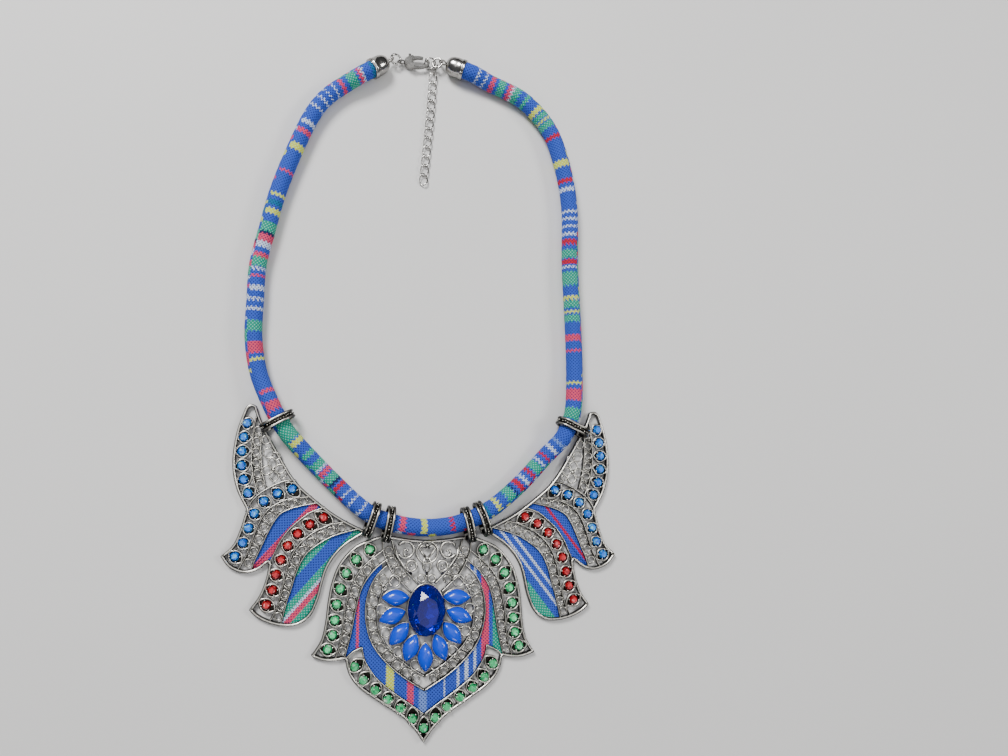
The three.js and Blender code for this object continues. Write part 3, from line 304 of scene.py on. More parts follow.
def weaveShader(tree, shader, colour, along, across):
    # Rows of small dark or light stitches in a diamond lattice, from two coordinates in millimetres.
    turn = 2 * math.pi / weave["pitch"]
    waves = [maths(tree, "SINE", maths(tree, "MULTIPLY", way, turn)) for way in (along, across)]
    height = maths(tree, "MULTIPLY_ADD", maths(tree, "MULTIPLY", *waves), 0.5, 0.5)
    dots = maths(tree, "LESS_THAN", height, weave["dot"])
    channels = split(tree, "ShaderNodeSeparateColor", colour)
    greenish = maths(tree, "GREATER_THAN", channels[1], maths(tree, "MULTIPLY", channels[2], 1.05))
    pale = mixColour(tree, 0.5, colour, weave["paleStitch"])
    dark = mixColour(tree, 0.85, colour, weave["darkStitch"])
    woven = mixColour(tree, dots, colour, mixColour(tree, greenish, dark, pale))
    noise = addNode(tree, "ShaderNodeTexNoise", Scale=700.0, Detail=3.0)
    shade = colourRamp(tree, noise.outputs["Fac"], [(0.25, (0.7, 0.7, 0.72)), (0.7, (1.0, 1.0, 1.0))])
    setLook(tree, shader, {
        "Base Color": mixColour(tree, 1.0, woven, shade, "MULTIPLY"), "Roughness": 0.82,
        "Specular IOR Level": 0.25, "Normal": bumpFrom(tree, height, *weave["bump"]),
    })


def inMillimetres(tree, source):
    places = split(tree, "ShaderNodeSeparateXYZ", source)
    return [maths(tree, "MULTIPLY", places[i], 1 / mm) for i in range(2)]


def stripedCloth(name, turn, bands):
    # Blue cloth with stripes along one direction; each is (from, to, thread) across it in millimetres.
    material, tree, shader = newMaterial(name)
    c, s = math.cos(math.radians(turn)), math.sin(math.radians(turn))
    x, y = inMillimetres(tree, objectPlace(tree))
    along = maths(tree, "ADD", maths(tree, "MULTIPLY", x, c), maths(tree, "MULTIPLY", y, s))
    across = maths(tree, "SUBTRACT", maths(tree, "MULTIPLY", y, c), maths(tree, "MULTIPLY", x, s))
    wave = maths(tree, "PINGPONG", along, weave["zigzagPitch"] / 2)
    shifted = maths(tree, "MULTIPLY_ADD", wave, 4 * weave["zigzag"] / weave["zigzagPitch"], across)
    reach = weave["reach"]
    share = maths(tree, "MULTIPLY_ADD", shifted, 0.5 / reach, 0.5)
    stops = {0.0: "blue"}
    for low, high, thread in bands:
        stops[max(0.0, (low + reach) / 2 / reach)] = thread
        stops.setdefault(min(1.0, (high + reach) / 2 / reach), "blue")
    colour = colourRamp(tree, share, [(place, threads[stops[place]]) for place in sorted(stops)], "CONSTANT")
    weaveShader(tree, shader, colour, along, across)
    return material


def paintedCloth():
    # Thread colours come painted on the mesh; its UV map runs along and around the cord.
    material, tree, shader = newMaterial("cordCloth")
    paint = addNode(tree, "ShaderNodeVertexColor", layer_name="thread")
    uv = addNode(tree, "ShaderNodeUVMap", uv_map="weave")
    weaveShader(tree, shader, paint.outputs[0], *inMillimetres(tree, uv.outputs[0]))
    return material


# Points and lines, in drawing millimetres.
def level(points, height):
    # A flat loop at one height.
    return [Vector((p[0], p[1], height)) for p in points]


def inFrame(points):
    # To the frame's metres.
    return [((p[0] - drawMiddle[0]) * mm, (p[1] - drawMiddle[1]) * mm, p[2] * mm) for p in points]


def heading(degrees):
    return Vector((math.cos(math.radians(degrees)), math.sin(math.radians(degrees))))


def circle(x, y, radius, sides=20, start=0.0, turn=360.0):
    steps = sides if turn == 360.0 else sides + 1
    angles = [math.radians(start + turn * i / sides) for i in range(steps)]
    return [(x + math.cos(t) * radius, y + math.sin(t) * radius) for t in angles]


def ringAround(centre, side, over, radius, sides):
    # A circle in the plane of two directions.
    angles = [2 * math.pi * k / sides for k in range(sides)]
    return [centre + (side * math.cos(t) + over * math.sin(t)) * radius for t in angles]


def aheadAt(points, i, closed=False):
    # Direction of a row of points at one of them.
    a = points[i - 1] if closed or i > 0 else points[i]
    b = points[(i + 1) % len(points)] if closed or i < len(points) - 1 else points[i]
    return (Vector(b) - Vector(a)).normalized()


def moved(points, by, closed=False):
    # A level row of points shifted to its left.
    result = []
    for i, p in enumerate(points):
        ahead = aheadAt(points, i, closed)
        result.append(Vector((p[0] - ahead.y * by, p[1] + ahead.x * by)))
    return result


def signedArea(loop):
    return sum(a[0] * b[1] - b[0] * a[1] for a, b in zip(loop, loop[1:] + loop[:1])) / 2


def cubic(p1, p2, v1, v2, t):
    # Between two points, with the directions in which the curve leaves and meets them.
    return (2 * p1 - 2 * p2 + v1 + v2) * t ** 3 + (-3 * p1 + 3 * p2 - 2 * v1 - v2) * t * t + v1 * t + p1


class Line:
    # Close points, measured along their length.
    def __init__(self, dense):
        self.dense, self.sums = dense, [0.0]
        for a, b in zip(dense, dense[1:]):
            self.sums.append(self.sums[-1] + (b - a).length)
        self.length = self.sums[-1]

    def at(self, share):
        goal = min(max(share, 0.0), 1.0) * self.length
        k = min(bisect_right(self.sums, goal), len(self.sums) - 1) - 1
        gap = self.sums[k + 1] - self.sums[k]
        return self.dense[k].lerp(self.dense[k + 1], (goal - self.sums[k]) / gap if gap else 0.0)

    def part(self, start, end, step=0.7):
        count = max(2, round(self.length * (end - start) / step))
        return [self.at(start + (end - start) * i / count) for i in range(count + 1)]

    def nearest(self, point):
        return min((i / 100 for i in range(101)), key=lambda share: (self.at(share) - point).length)


def smoothLine(points, step=0.25):
    points = [Vector(p) for p in points]
    dense, last = [], len(points) - 1
    for i in range(last):
        p0, p1, p2, p3 = points[max(i - 1, 0)], points[i], points[i + 1], points[min(i + 2, last)]
        count = max(2, round((p2 - p1).length / step))
        dense += [cubic(p1, p2, (p2 - p0) * 0.5, (p3 - p1) * 0.5, k / count) for k in range(count)]
    return Line(dense + [points[-1]])


class Build:
    # Collects faces; make turns them into a piece in the frame.
    def __init__(self):
        self.verts, self.faces, self.smooth, self.kinds, self.kind = [], [], [], [], 0

    def face(self, corners, smooth=False):
        self.faces.append(tuple(corners))
        self.smooth.append(smooth)
        self.kinds.append(self.kind)

    def loft(self, loops, closed=False, ends=(True, True), smooth=True):
        # A skin over loops; closed joins the last to the first, ends says which end is covered.
        base, n, rows = len(self.verts), len(loops[0]), len(loops)
        for loop in loops:
            self.verts.extend(loop)
        for k in range(rows if closed else rows - 1):
            near, far = base + k * n, base + (k + 1) % rows * n
            for i in range(n):
                j = (i + 1) % n
                self.face((near + i, near + j, far + j, far + i), smooth)
        if ends[0] and not closed:
            self.face(base + i for i in reversed(range(n)))
        if ends[1] and not closed:
            self.face(base + (rows - 1) * n + i for i in range(n))

    def wire(self, points, radius, z, closed=False, sides=8):
        # A round wire that lies level.
        path, up = level(points, z), Vector((0, 0, 1))
        self.loft([ringAround(p, up.cross(aheadAt(path, i, closed)), up, radius, sides)
                   for i, p in enumerate(path)], closed)

    def strip(self, points, profile, closed=False):
        # A profile of (across, height) carried along a level line.
        loops = []
        for i, p in enumerate(points):
            ahead = aheadAt(points, i, closed)
            loops.append([Vector((p[0] - ahead.y * u, p[1] + ahead.x * u, h)) for u, h in profile])
        self.loft(loops, closed)

    def slab(self, points, low, high):
        self.loft([level(points, low), level(points, high)], smooth=False)

    def bead(self, centre, radius, tall=1.0, sides=8, rows=4):
        x, y, z = centre
        angles = [math.pi * (0.06 + 0.88 * k / rows - 0.5) for k in range(rows + 1)]
        self.loft([level(circle(x, y, math.cos(t) * radius, sides), z + math.sin(t) * radius * tall)
                   for t in angles])

    def make(self, name, materials, slot=None):
        mesh = bpy.data.meshes.new(name)
        mesh.from_pydata(inFrame(self.verts), [], self.faces)
        mesh.polygons.foreach_set("use_smooth", self.smooth)
        for material in materials:
            mesh.materials.append(material)
        mesh.polygons.foreach_set("material_index", self.kinds)
        obj = bpy.data.objects.new(name, mesh)
        bpy.context.scene.collection.objects.link(obj)
        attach(obj, "necklace")
        print(name, len(mesh.polygons), "faces")
        return obj


# Plate curves, as shares of each plate's size.
wingSize = {"width": 50.6, "height": 76.8, "left": (-72.2, -63.0), "right": (71.3, -62.24)}
wingCurves = {
    "featherOuter": [(0.118, 0.978), (0.071, 0.879), (0.049, 0.775), (0.055, 0.684), (0.091, 0.599),
                     (0.154, 0.523)],
    "featherInner": [(0.198, 0.944), (0.184, 0.882), (0.176, 0.820), (0.176, 0.755), (0.186, 0.690),
                     (0.209, 0.630), (0.241, 0.587)],
    "flowerRim": [(0.243, 0.902), (0.235, 0.833), (0.239, 0.768), (0.253, 0.689), (0.281, 0.617)],
    "tip": [(0.202, 0.975), (0.1957, 0.990), (0.162, 1.0), (0.134, 0.992), (0.118, 0.978)],
    "spine": [(0.202, 0.975), (0.245, 0.908), (0.358, 0.777), (0.482, 0.652), (0.626, 0.565),
              (0.796, 0.486), (1, 0.419)],
    "secondOuter": [(0.486, 0.652), (0.423, 0.651), (0.338, 0.629), (0.245, 0.591), (0.186, 0.549),
                    (0.150, 0.495), (0.123, 0.430), (0.077, 0.357), (0, 0.309)],
    "secondInner": [(0.601, 0.578), (0.490, 0.572), (0.419, 0.561), (0.348, 0.539), (0.296, 0.510),
                    (0.257, 0.470), (0.225, 0.417), (0.194, 0.353), (0.160, 0.297), (0.117, 0.245)],
    "secondScroll": [(0.648, 0.552), (0.540, 0.538), (0.458, 0.523), (0.389, 0.499), (0.342, 0.457),
                     (0.304, 0.405), (0.265, 0.344), (0.229, 0.290), (0.204, 0.238)],
    "secondFoot": [(0, 0.309), (0.053, 0.264), (0.132, 0.238), (0.202, 0.236), (0.271, 0.255),
                   (0.328, 0.288)],
    "thirdOuter": [(0.696, 0.531), (0.591, 0.505), (0.520, 0.469), (0.451, 0.426), (0.397, 0.375),
                   (0.362, 0.324), (0.328, 0.273), (0.314, 0.221), (0.292, 0.169), (0.259, 0.121),
                   (0.206, 0.073)],
    "thirdInner": [(0.854, 0.466), (0.749, 0.453), (0.652, 0.427), (0.581, 0.396), (0.526, 0.361),
                   (0.486, 0.320), (0.455, 0.267), (0.435, 0.208), (0.415, 0.143), (0.387, 0.072),
                   (0.342, 0.014)],
    "thirdScroll": [(0.949, 0.435), (0.848, 0.419), (0.751, 0.398), (0.664, 0.366), (0.587, 0.326),
                    (0.540, 0.279), (0.510, 0.229), (0.486, 0.169), (0.458, 0.108), (0.421, 0.003)],
    "thirdFoot": [(0.206, 0.073), (0.255, 0.042), (0.332, 0.016), (0.427, 0), (0.522, 0.001),
                  (0.597, 0.026), (0.642, 0.062)],
    "hem": [(0.642, 0.062), (0.676, 0.124), (0.698, 0.189), (0.725, 0.250), (0.775, 0.307),
            (0.850, 0.358), (0.947, 0.400), (1, 0.419)],
}
centreSize = {"halfWidth": 40.2, "height": 71.4, "bottom": -103.4}
centreCurves = {
    "bar": [(0, 0.976), (0.17, 0.983), (0.33, 0.997)],
    "sideOuter": [(0.408, 1), (0.629, 0.951), (0.771, 0.868), (0.838, 0.775), (0.868, 0.679),
                  (0.886, 0.573), (0.918, 0.492), (0.998, 0.420)],
    "flareFoot": [(0.998, 0.420), (0.888, 0.399), (0.791, 0.397), (0.697, 0.406)],
    "sideInner": [(0.388, 0.930), (0.527, 0.868), (0.617, 0.811), (0.672, 0.748), (0.701, 0.683),
                  (0.721, 0.619), (0.731, 0.545), (0.754, 0.468), (0.794, 0.398)],
    "sideScroll": [(0.353, 0.885), (0.470, 0.831), (0.555, 0.766), (0.597, 0.706), (0.629, 0.622),
                   (0.652, 0.545), (0.679, 0.475), (0.712, 0.404)],
    "ringOuter": [(0.356, 0.854), (0.458, 0.793), (0.520, 0.711), (0.537, 0.618), (0.505, 0.521),
                  (0.440, 0.447), (0.326, 0.375), (0.187, 0.312), (0, 0.247)],
    "ringInner": [(0.291, 0.797), (0.381, 0.738), (0.423, 0.669), (0.435, 0.616), (0.418, 0.541),
                  (0.356, 0.473), (0.251, 0.410), (0.139, 0.360), (0, 0.314)],
    "footOuter": [(0.697, 0.403), (0.687, 0.363), (0.644, 0.311), (0.555, 0.259), (0.386, 0.195),
                  (0.204, 0.129), (0.090, 0.067), (0, 0)],
    "footInner": [(0.557, 0.459), (0.545, 0.419), (0.507, 0.371), (0.413, 0.303), (0.266, 0.238),
                  (0.119, 0.182), (0, 0.134)],
    "footTop": [(0.697, 0.406), (0.637, 0.438), (0.557, 0.459)],
    "vOuter": [(0.398, 0.986), (0.393, 0.917), (0.343, 0.852), (0.296, 0.808), (0.216, 0.762),
               (0.134, 0.720)],
    "vInner": [(0.321, 0.980), (0.279, 0.902), (0.192, 0.829), (0.075, 0.762)],
}
# Stone rows: first and last place along, share across, stones, shift of the middle ones along.
stoneRows = {
    "feather": (0.128, 0.900, 0.48, 6, 0), "second": (0.103, 0.922, 0.49, 7, 0),
    "third": (0.100, 0.902, 0.51, 8, 0), "side": (0.113, 0.927, 0.51, 8, 0.022),
    "foot": (0.115, 0.845, 0.40, 6, 0),
}
lace = {
    "edgeHalf": 0.5, "edgeHeight": 2.0, "rimHalf": 0.3, "rimHeight": 1.9, "eyeFloor": 0.45, "eyeWire": 0.38,
    "eyeHeight": 1.95, "eyeBulge": 2.2, "beadRadius": 0.42, "scrollWire": 0.27, "scrollPitch": 4.1,
    "scrollHeight": 1.75, "stoneRadius": 1.72, "stoneTable": 0.95, "stoneLow": 0.9, "stoneHigh": 2.55,
    "cup": [(1.6, 0.3), (1.78, 1.25), (1.5, 1.35)], "beadPlace": (1.5, 1.1, 1.75), "crossLean": 0.62,
}
# Slots of the silver: lace is toned by height; hollow is a dark copy for eye floors and bail grooves, oxide plus
# painted shade; bright is a light copy for bezels, rails and beads, rubbed wear plus painted light.
silverKinds = {"lace": 0, "hollow": 1, "bright": 2}


def rimProfile(half, low, high):
    shoulder, crown = high - 0.45, high - 0.1
    return [(-half, low), (-half, shoulder), (-half * 0.6, crown), (0, high), (half * 0.6, crown),
            (half, shoulder), (half, low)]


def edgeRim(build, points):
    # The outer rim lies inside the outline, its outer wall on it.
    loop = points if signedArea(points) > 0 else list(reversed(points))
    half = lace["edgeHalf"]
    build.strip(moved(loop, half, closed=True), rimProfile(half, 0.0, lace["edgeHeight"]), closed=True)


def innerRim(build, points):
    build.strip(points, rimProfile(lace["rimHalf"], 0.05, lace["rimHeight"]))


def between(outer, inner, s, t):
    return outer.at(s).lerp(inner.at(s), t)


def eyeLoop(a, b, bulge, steps=9, power=0.8):
    # Pointed oval from a to b.
    ahead = b - a
    side = Vector((-ahead.y, ahead.x)).normalized()
    bow = [(k / steps, math.sin(math.pi * k / steps) ** power) for k in range(steps)]
    return ([a + ahead * u + side * bulge * w for u, w in bow]
            + [b - ahead * u - side * bulge * w for u, w in bow])


def eye(build, stones, outer, inner, s, across, nearTrim=0.7, farTrim=0.3):
    # One setting across a band: bezel, floor, cup, four beads, and the place of its stone.
    wide = (inner.at(s) - outer.at(s)).length
    a, b = between(outer, inner, s, nearTrim / wide), between(outer, inner, s, 1 - farTrim / wide)
    centre = between(outer, inner, s, across)
    build.kind = silverKinds["bright"]
    wire = lace["eyeWire"]
    build.wire(eyeLoop(a, b, lace["eyeBulge"]), wire, lace["eyeHeight"] - wire, closed=True)
    # The eye's floor takes the dark copy: oxide plus painted shade under the bezel.
    build.kind = silverKinds["hollow"]
    build.slab(eyeLoop(a, b, lace["eyeBulge"] - 0.1), 0.05, lace["eyeFloor"])
    build.kind = silverKinds["lace"]
    ahead = (b - a).normalized()
    side = Vector((-ahead.y, ahead.x))
    build.loft([level(circle(centre.x, centre.y, radius, 14), z) for radius, z in lace["cup"]])
    along, aside, z = lace["beadPlace"]
    for u, w in ((1, 1), (1, -1), (-1, 1), (-1, -1)):
        place = centre + ahead * u * along + side * w * aside
        build.bead((place.x, place.y, z), lace["beadRadius"], 1.2)
    stones.append((centre.x, centre.y, math.degrees(math.atan2(ahead.y, ahead.x))))


def stoneRow(build, stones, name, outer, inner):
    # A row of set stones along a band.
    start, end, across, count, shift = stoneRows[name]
    for i in range(count):
        share = i / (count - 1)
        s = start + (end - start) * share + shift * math.sin(math.pi * share)
        eye(build, stones, outer, inner, s, across)


def scrolls(build, outer, inner, start, end):
    # Rings in a band, with crossing wires and beads between them.
    middle = (outer.length + inner.length) / 2 * (end - start)
    count = max(2, round(middle / lace["scrollPitch"]))
    wire, z = lace["scrollWire"], lace["scrollHeight"] - lace["scrollWire"]
    lean = lace["crossLean"] / middle * (end - start)
    for i in range(count):
        s = start + (end - start) * (i + 0.5) / count
        centre = between(outer, inner, s, 0.5)
        radius = min((inner.at(s) - outer.at(s)).length / 2 - 0.3, 1.25)
        if radius > 0.45:
            build.wire(circle(centre.x, centre.y, radius, 14), wire, z, closed=True, sides=6)
        if i > 0:
            edge = start + (end - start) * i / count
            m = between(outer, inner, edge, 0.5)
            for way in (-1, 1):
                a, b = outer.at(edge - way * lean), inner.at(edge + way * lean)
                build.wire([a, m, b], wire * 0.9, z - 0.05, sides=6)
            build.bead((m.x, m.y, z + 0.1), 0.42, 1.0, 6, 3)


def smallStones(name, places, material):
    wide, low = lace["stoneRadius"], lace["stoneLow"]
    profile = [(wide * 0.9, low), (wide, low + 0.35), (lace["stoneTable"], lace["stoneHigh"])]
    build = Build()
    for x, y, turn in places:
        build.loft([level(circle(x, y, radius, 8, turn + 22.5), z) for radius, z in profile], smooth=False)
    build.make(name, [material])


# Bails: near end, direction over the cord.
bailTable = {
    "leftUpper": (-59.3, 5.3, 29), "leftLower": (-22.2, -31.2, 71), "centreLeft": (-15.4, -32.9, 80),
    "centreRight": (15.4, -32.9, 103), "rightLower": (21.4, -30.5, 111), "rightUpper": (58.3, 6.1, 155),
}
bailSize = {
    "length": 13.2, "wall": 1.2, "inner": 3.75, "breadth": 3.0, "seat": 1.3, "rail": 0.46, "groove": 0.62,
    "beads": 34, "beadShare": 0.86, "beadInset": 0.42, "beadWander": 0.18, "beadRadius": (0.32, 0.44),
    "footStart": 0.8, "footEnd": 3.2, "footHeight": 2.1,
}


def bail(build, row):
    # Two rails and a row of beads round an upright oval.
    x, y, turn = row
    c, s = math.cos(math.radians(turn)), math.sin(math.radians(turn))
    high = bailSize["inner"] + bailSize["wall"]
    half = bailSize["length"] / 2
    straight = half - high

    def ringPath(inset, count):
        # Points evenly along the oval; its second half is the first one turned about its middle.
        radius = high - inset
        side, arc = 2 * straight, math.pi * radius
        result = []
        for i in range(count):
            d, way = 2 * (side + arc) * i / count, 1
            if d >= side + arc:
                d, way = d - side - arc, -1
            if d < side:
                u, v = d - straight, -radius
            else:
                t = (d - side) / radius - math.pi / 2
                u, v = straight + math.cos(t) * radius, math.sin(t) * radius
            result.append((way * u, way * v))
        return result

    def place(u, w, v):
        u = u + half - bailSize["seat"]
        return Vector((x + u * c - w * s, y + u * s + w * c, v + high))

    def band(profile, count=44):
        # Profile points are (across, inset from the outside).
        paths = [ringPath(inset, count) for _, inset in profile]
        build.loft([[place(oval[k][0], w, oval[k][1]) for (w, _), oval in zip(profile, paths)]
                    for k in range(count)], closed=True)

    edge, rail, wall, groove = bailSize["breadth"] / 2, bailSize["rail"], bailSize["wall"], bailSize["groove"]
    build.kind = silverKinds["bright"]
    for side in (-1, 1):
        band([(side * (edge - rail) + math.cos(t) * rail, rail + 0.02 - math.sin(t) * rail)
              for t in (2 * math.pi * k / 8 for k in range(8))])
    # The groove between the rails takes the dark copy: oxide plus painted shade.
    build.kind = silverKinds["hollow"]
    inside = edge - 0.1
    band([(-inside, groove), (inside, groove), (inside, wall), (-inside, wall)])
    build.kind = silverKinds["bright"]
    wander = bailSize["beadWander"]
    for u, v in ringPath(bailSize["beadInset"], bailSize["beads"]):
        if rng.random() < bailSize["beadShare"]:
            centre = place(u, rng.uniform(-wander, wander), v)
            build.bead(centre, rng.uniform(*bailSize["beadRadius"]), 1.0, 6, 3)
    # Foot where the loop is soldered to the plate.
    near, far = bailSize["footStart"] - half, bailSize["footEnd"] - half
    build.kind = silverKinds["lace"]
    build.slab([place(u, w, 0) for u, w in ((near, -edge), (far, -edge), (far, edge), (near, edge))],
               0.0, bailSize["footHeight"])


# Flower in the wing: its middle as shares, and rings beside it with their radius.
flower = {
    "middle": (0.330, 0.700), "turns": (8, 98, 188, 278), "reach": (0.5, 4.3), "bulge": 1.55, "wire": 0.3,
    "rings": [(0.272, 0.835, 1.5), (0.292, 0.775, 1.75), (0.345, 0.762, 1.35), (0.262, 0.896, 0.9),
              (0.395, 0.672, 1.0)], "ringWire": 0.28,
}


def flowerOfLoops(build, side, spot):
    z = lace["scrollHeight"] - 0.05
    middle = Vector(spot(*flower["middle"]))
    build.bead((middle.x, middle.y, z + 0.2), 0.75, 0.9, 10, 5)
    near, far = flower["reach"]
    for turn in flower["turns"]:
        way = heading(90 - turn * side)
        loop = eyeLoop(middle + way * near, middle + way * far, flower["bulge"], 8)
        build.wire(loop, flower["wire"], z, closed=True, sides=6)
    for u, v, radius in flower["rings"]:
        build.wire(circle(*spot(u, v), radius, 16), flower["ringWire"], z, closed=True, sides=6)


def wing(name, side, origin, bails, materials):
    width, height = wingSize["width"], wingSize["height"]

    def spot(u, v):
        return origin[0] - side * u * width, origin[1] + v * height

    lines = {key: smoothLine([spot(u, v) for u, v in rows]) for key, rows in wingCurves.items()}
    build, stones = Build(), {"blue": [], "red": []}
    footMeet = lines["secondOuter"].nearest(lines["featherOuter"].at(1))
    tipMeet = lines["thirdOuter"].nearest(lines["secondFoot"].at(1))
    outline = (lines["featherOuter"].part(0, 1) + lines["secondOuter"].part(footMeet + 0.03, 1)
               + lines["secondFoot"].part(0.06, 0.97) + lines["thirdOuter"].part(tipMeet + 0.03, 1)
               + lines["thirdFoot"].part(0.05, 0.97) + lines["hem"].part(0.01, 1)
               + list(reversed(lines["spine"].part(0, 0.99))) + lines["tip"].part(0.08, 0.92))
    edgeRim(build, outline)
    ends = {"featherInner": 1, "flowerRim": 1, "secondOuter": footMeet + 0.03, "secondInner": 1,
            "secondScroll": 1, "thirdOuter": tipMeet + 0.03, "thirdInner": 1, "thirdScroll": 1}
    for key, end in ends.items():
        innerRim(build, lines[key].part(0, end))
    for row, colour in (("feather", "blue"), ("second", "blue"), ("third", "red")):
        stoneRow(build, stones[colour], row, lines[f"{row}Outer"], lines[f"{row}Inner"])
    scrolls(build, lines["featherInner"], lines["flowerRim"], 0.06, 0.97)
    scrolls(build, lines["secondInner"], lines["secondScroll"], 0.05, 0.97)
    scrolls(build, lines["thirdInner"], lines["thirdScroll"], 0.05, 0.98)
    flowerOfLoops(build, side, spot)
    for row in bails:
        bail(build, bailTable[row])
    plate = build.make(name, materials, slot="antique_silver")

    def foot(line, scroll):
        start = lines[line].nearest(lines[scroll].at(1))
        return moved(lines[line].part(start, 0.97), -side * 0.5)

    upper = (lines["secondScroll"].part(0.03, 1) + foot("secondFoot", "secondScroll")
             + list(reversed(lines["thirdOuter"].part(0.03, tipMeet))))
    lower = (lines["thirdScroll"].part(0.02, 0.985) + foot("thirdFoot", "thirdScroll")
             + moved(lines["hem"].part(0.03, 0.97), -side * 0.5))
    return plate, stones, (upper, lower)


def centrePlate(name, materials):
    halfWidth, height, bottom = centreSize["halfWidth"], centreSize["height"], centreSize["bottom"]
    build, stones = Build(), []
    halves = [{key: smoothLine([(side * u * halfWidth, bottom + v * height) for u, v in rows])
               for key, rows in centreCurves.items()} for side in (-1, 1)]
    edges = [h["bar"].part(0, 0.9) + h["sideOuter"].part(0, 1) + h["flareFoot"].part(0.05, 0.97)
             + h["footOuter"].part(0.02, 1) for h in halves]
    edgeRim(build, edges[0] + list(reversed(edges[1][1:-1])))
    for h in halves:
        for key in ("sideInner", "sideScroll", "ringOuter", "ringInner", "footInner", "footTop",
                    "vOuter", "vInner"):
            innerRim(build, h[key].part(0, 1))
        stoneRow(build, stones, "side", h["sideOuter"], h["sideInner"])
        stoneRow(build, stones, "foot", h["footOuter"], h["footInner"])
        scrolls(build, h["sideInner"], h["sideScroll"], 0.06, 0.97)
        scrolls(build, h["ringOuter"], h["ringInner"], 0.03, 0.97)
        scrolls(build, h["vOuter"], h["vInner"], 0.1, 0.88)
    eye(build, stones, halves[0]["footOuter"], halves[0]["footInner"], 1.0, 0.5, 0.9, 0.5)
    lyre(build)
    seats(build)
    for row in ("centreLeft", "centreRight"):
        bail(build, bailTable[row])
    windows = [h["sideScroll"].part(0.06, 1) + h["footTop"].part(0.1, 1) + h["footInner"].part(0.02, 1)
               for h in halves]
    islands = [h["ringOuter"].part(0.05, 1) for h in halves]
    inset = windows[0] + list(reversed(windows[1][:-1])) + islands[1] + list(reversed(islands[0][:-1]))
    return build.make(name, materials, slot="antique_silver"), stones, inset


# Lyre, right half. Curls: x, y, radius, steps, start, turn, wire, sides. Rings: x, y, radius, steps, wire.
# Stems: points, wire, sides. Beads: x, y, rise, radius; on the axis: y, radius.
lyreSize = {
    "curls": [(7.8, -37.0, 2.9, 18, -60, 300, 0.52, 7), (7.2, -38.0, 1.3, 8, 200, 140, 0.42, 6)],
    "rings": [(5.6, -42.6, 1.85, 16, 0.44), (1.8, -47.1, 1.3, 14, 0.38)],
    "stems": [([(11.6, -35.5), (10.9, -39.2), (8.6, -42.6), (5.4, -45.6)], 0.38, 6),
              ([(0.3, -36.4), (1.9, -35.4), (2.9, -36.6), (1.9, -38.2), (0.6, -39.4)], 0.42, 7),
              ([(0.4, -39.4), (1.5, -41.4), (1.4, -43.4), (0, -45.6)], 0.4, 6)],
    "beads": [(7.2, -37.2, 0.2, 0.55), (5.6, -42.6, 0, 0.5)],
    "arch": (0, -37.9, 3.9, 20, -250, 320), "archWire": 0.4,
    "axisBeads": [(-35.4, 0.7), (-40.0, 0.75), (-46.2, 0.6)],
}


def lyre(build):
    z = lace["scrollHeight"] + 0.1
    for side in (-1, 1):
        for x, y, radius, steps, start, turn, wire, sides in lyreSize["curls"]:
            curl = circle(side * x, y, radius, steps, 90 + side * start, side * turn)
            build.wire(curl, wire, z, sides=sides)
        for x, y, radius, steps, wire in lyreSize["rings"]:
            build.wire(circle(side * x, y, radius, steps), wire, z, closed=True, sides=6)
        for points, wire, sides in lyreSize["stems"]:
            build.wire([(side * x, y) for x, y in points], wire, z, sides=sides)
        for x, y, rise, radius in lyreSize["beads"]:
            build.bead((side * x, y, z + rise), radius)
    build.wire(circle(*lyreSize["arch"]), lyreSize["archWire"], z, sides=7)
    for y, radius in lyreSize["axisBeads"]:
        build.bead((0, y, z + 0.2), radius)


# Middle stones. Petals: x, y, turn of the right half and the lowest.
ovalSize = {
    "centre": (0.0, -57.99), "halfWidth": 6.7, "halfHeight": 9.0, "low": 1.8, "girdle": 3.25, "high": 6.7,
}
petalRows = [(11.0, -53.56, 0), (12.06, -59.92, -20), (9.49, -66.06, -48), (5.27, -70.91, -67),
              (0, -74.3, -90)]
petalSize = {
    "length": 10.0, "width": 5.5, "low": 1.8, "rise": 2.9, "power": 0.82, "steps": 12,
    "profile": [(0.94, 0), (1.0, 0.14), (0.985, 0.3), (0.93, 0.5), (0.82, 0.7), (0.66, 0.85),
                (0.45, 0.95), (0.2, 1.0)],
}
# Loops between the petals, with their stems; end rings: x, y, radius, steps, wire, sides.
seatSize = {
    "wire": 0.3, "ovalWire": 0.34, "loopRadius": 1.75, "loopIn": 0.45, "stem": (4.1, 2.0),
    "endRings": [(11.6, -47.9, 2.0, 16, 0.34, 7), (15.2, -50.2, 0.9, 12, 0.26, 6)],
}


def allPetals():
    return petalRows + [(-x, y, -180 - turn) for x, y, turn in reversed(petalRows[:-1])]


def petalLoop(x, y, turn, scale):
    middle, half = Vector((x, y)), heading(turn) * petalSize["length"] / 2 * scale
    bulge = petalSize["width"] / 2 * scale
    return eyeLoop(middle - half, middle + half, bulge, petalSize["steps"], petalSize["power"])


def ovalPoints(scale, count, shift=0.0):
    x, y = ovalSize["centre"]
    return [(x + u * ovalSize["halfWidth"], y + v * ovalSize["halfHeight"])
            for u, v in circle(0, 0, scale, count, 360 * shift / count)]


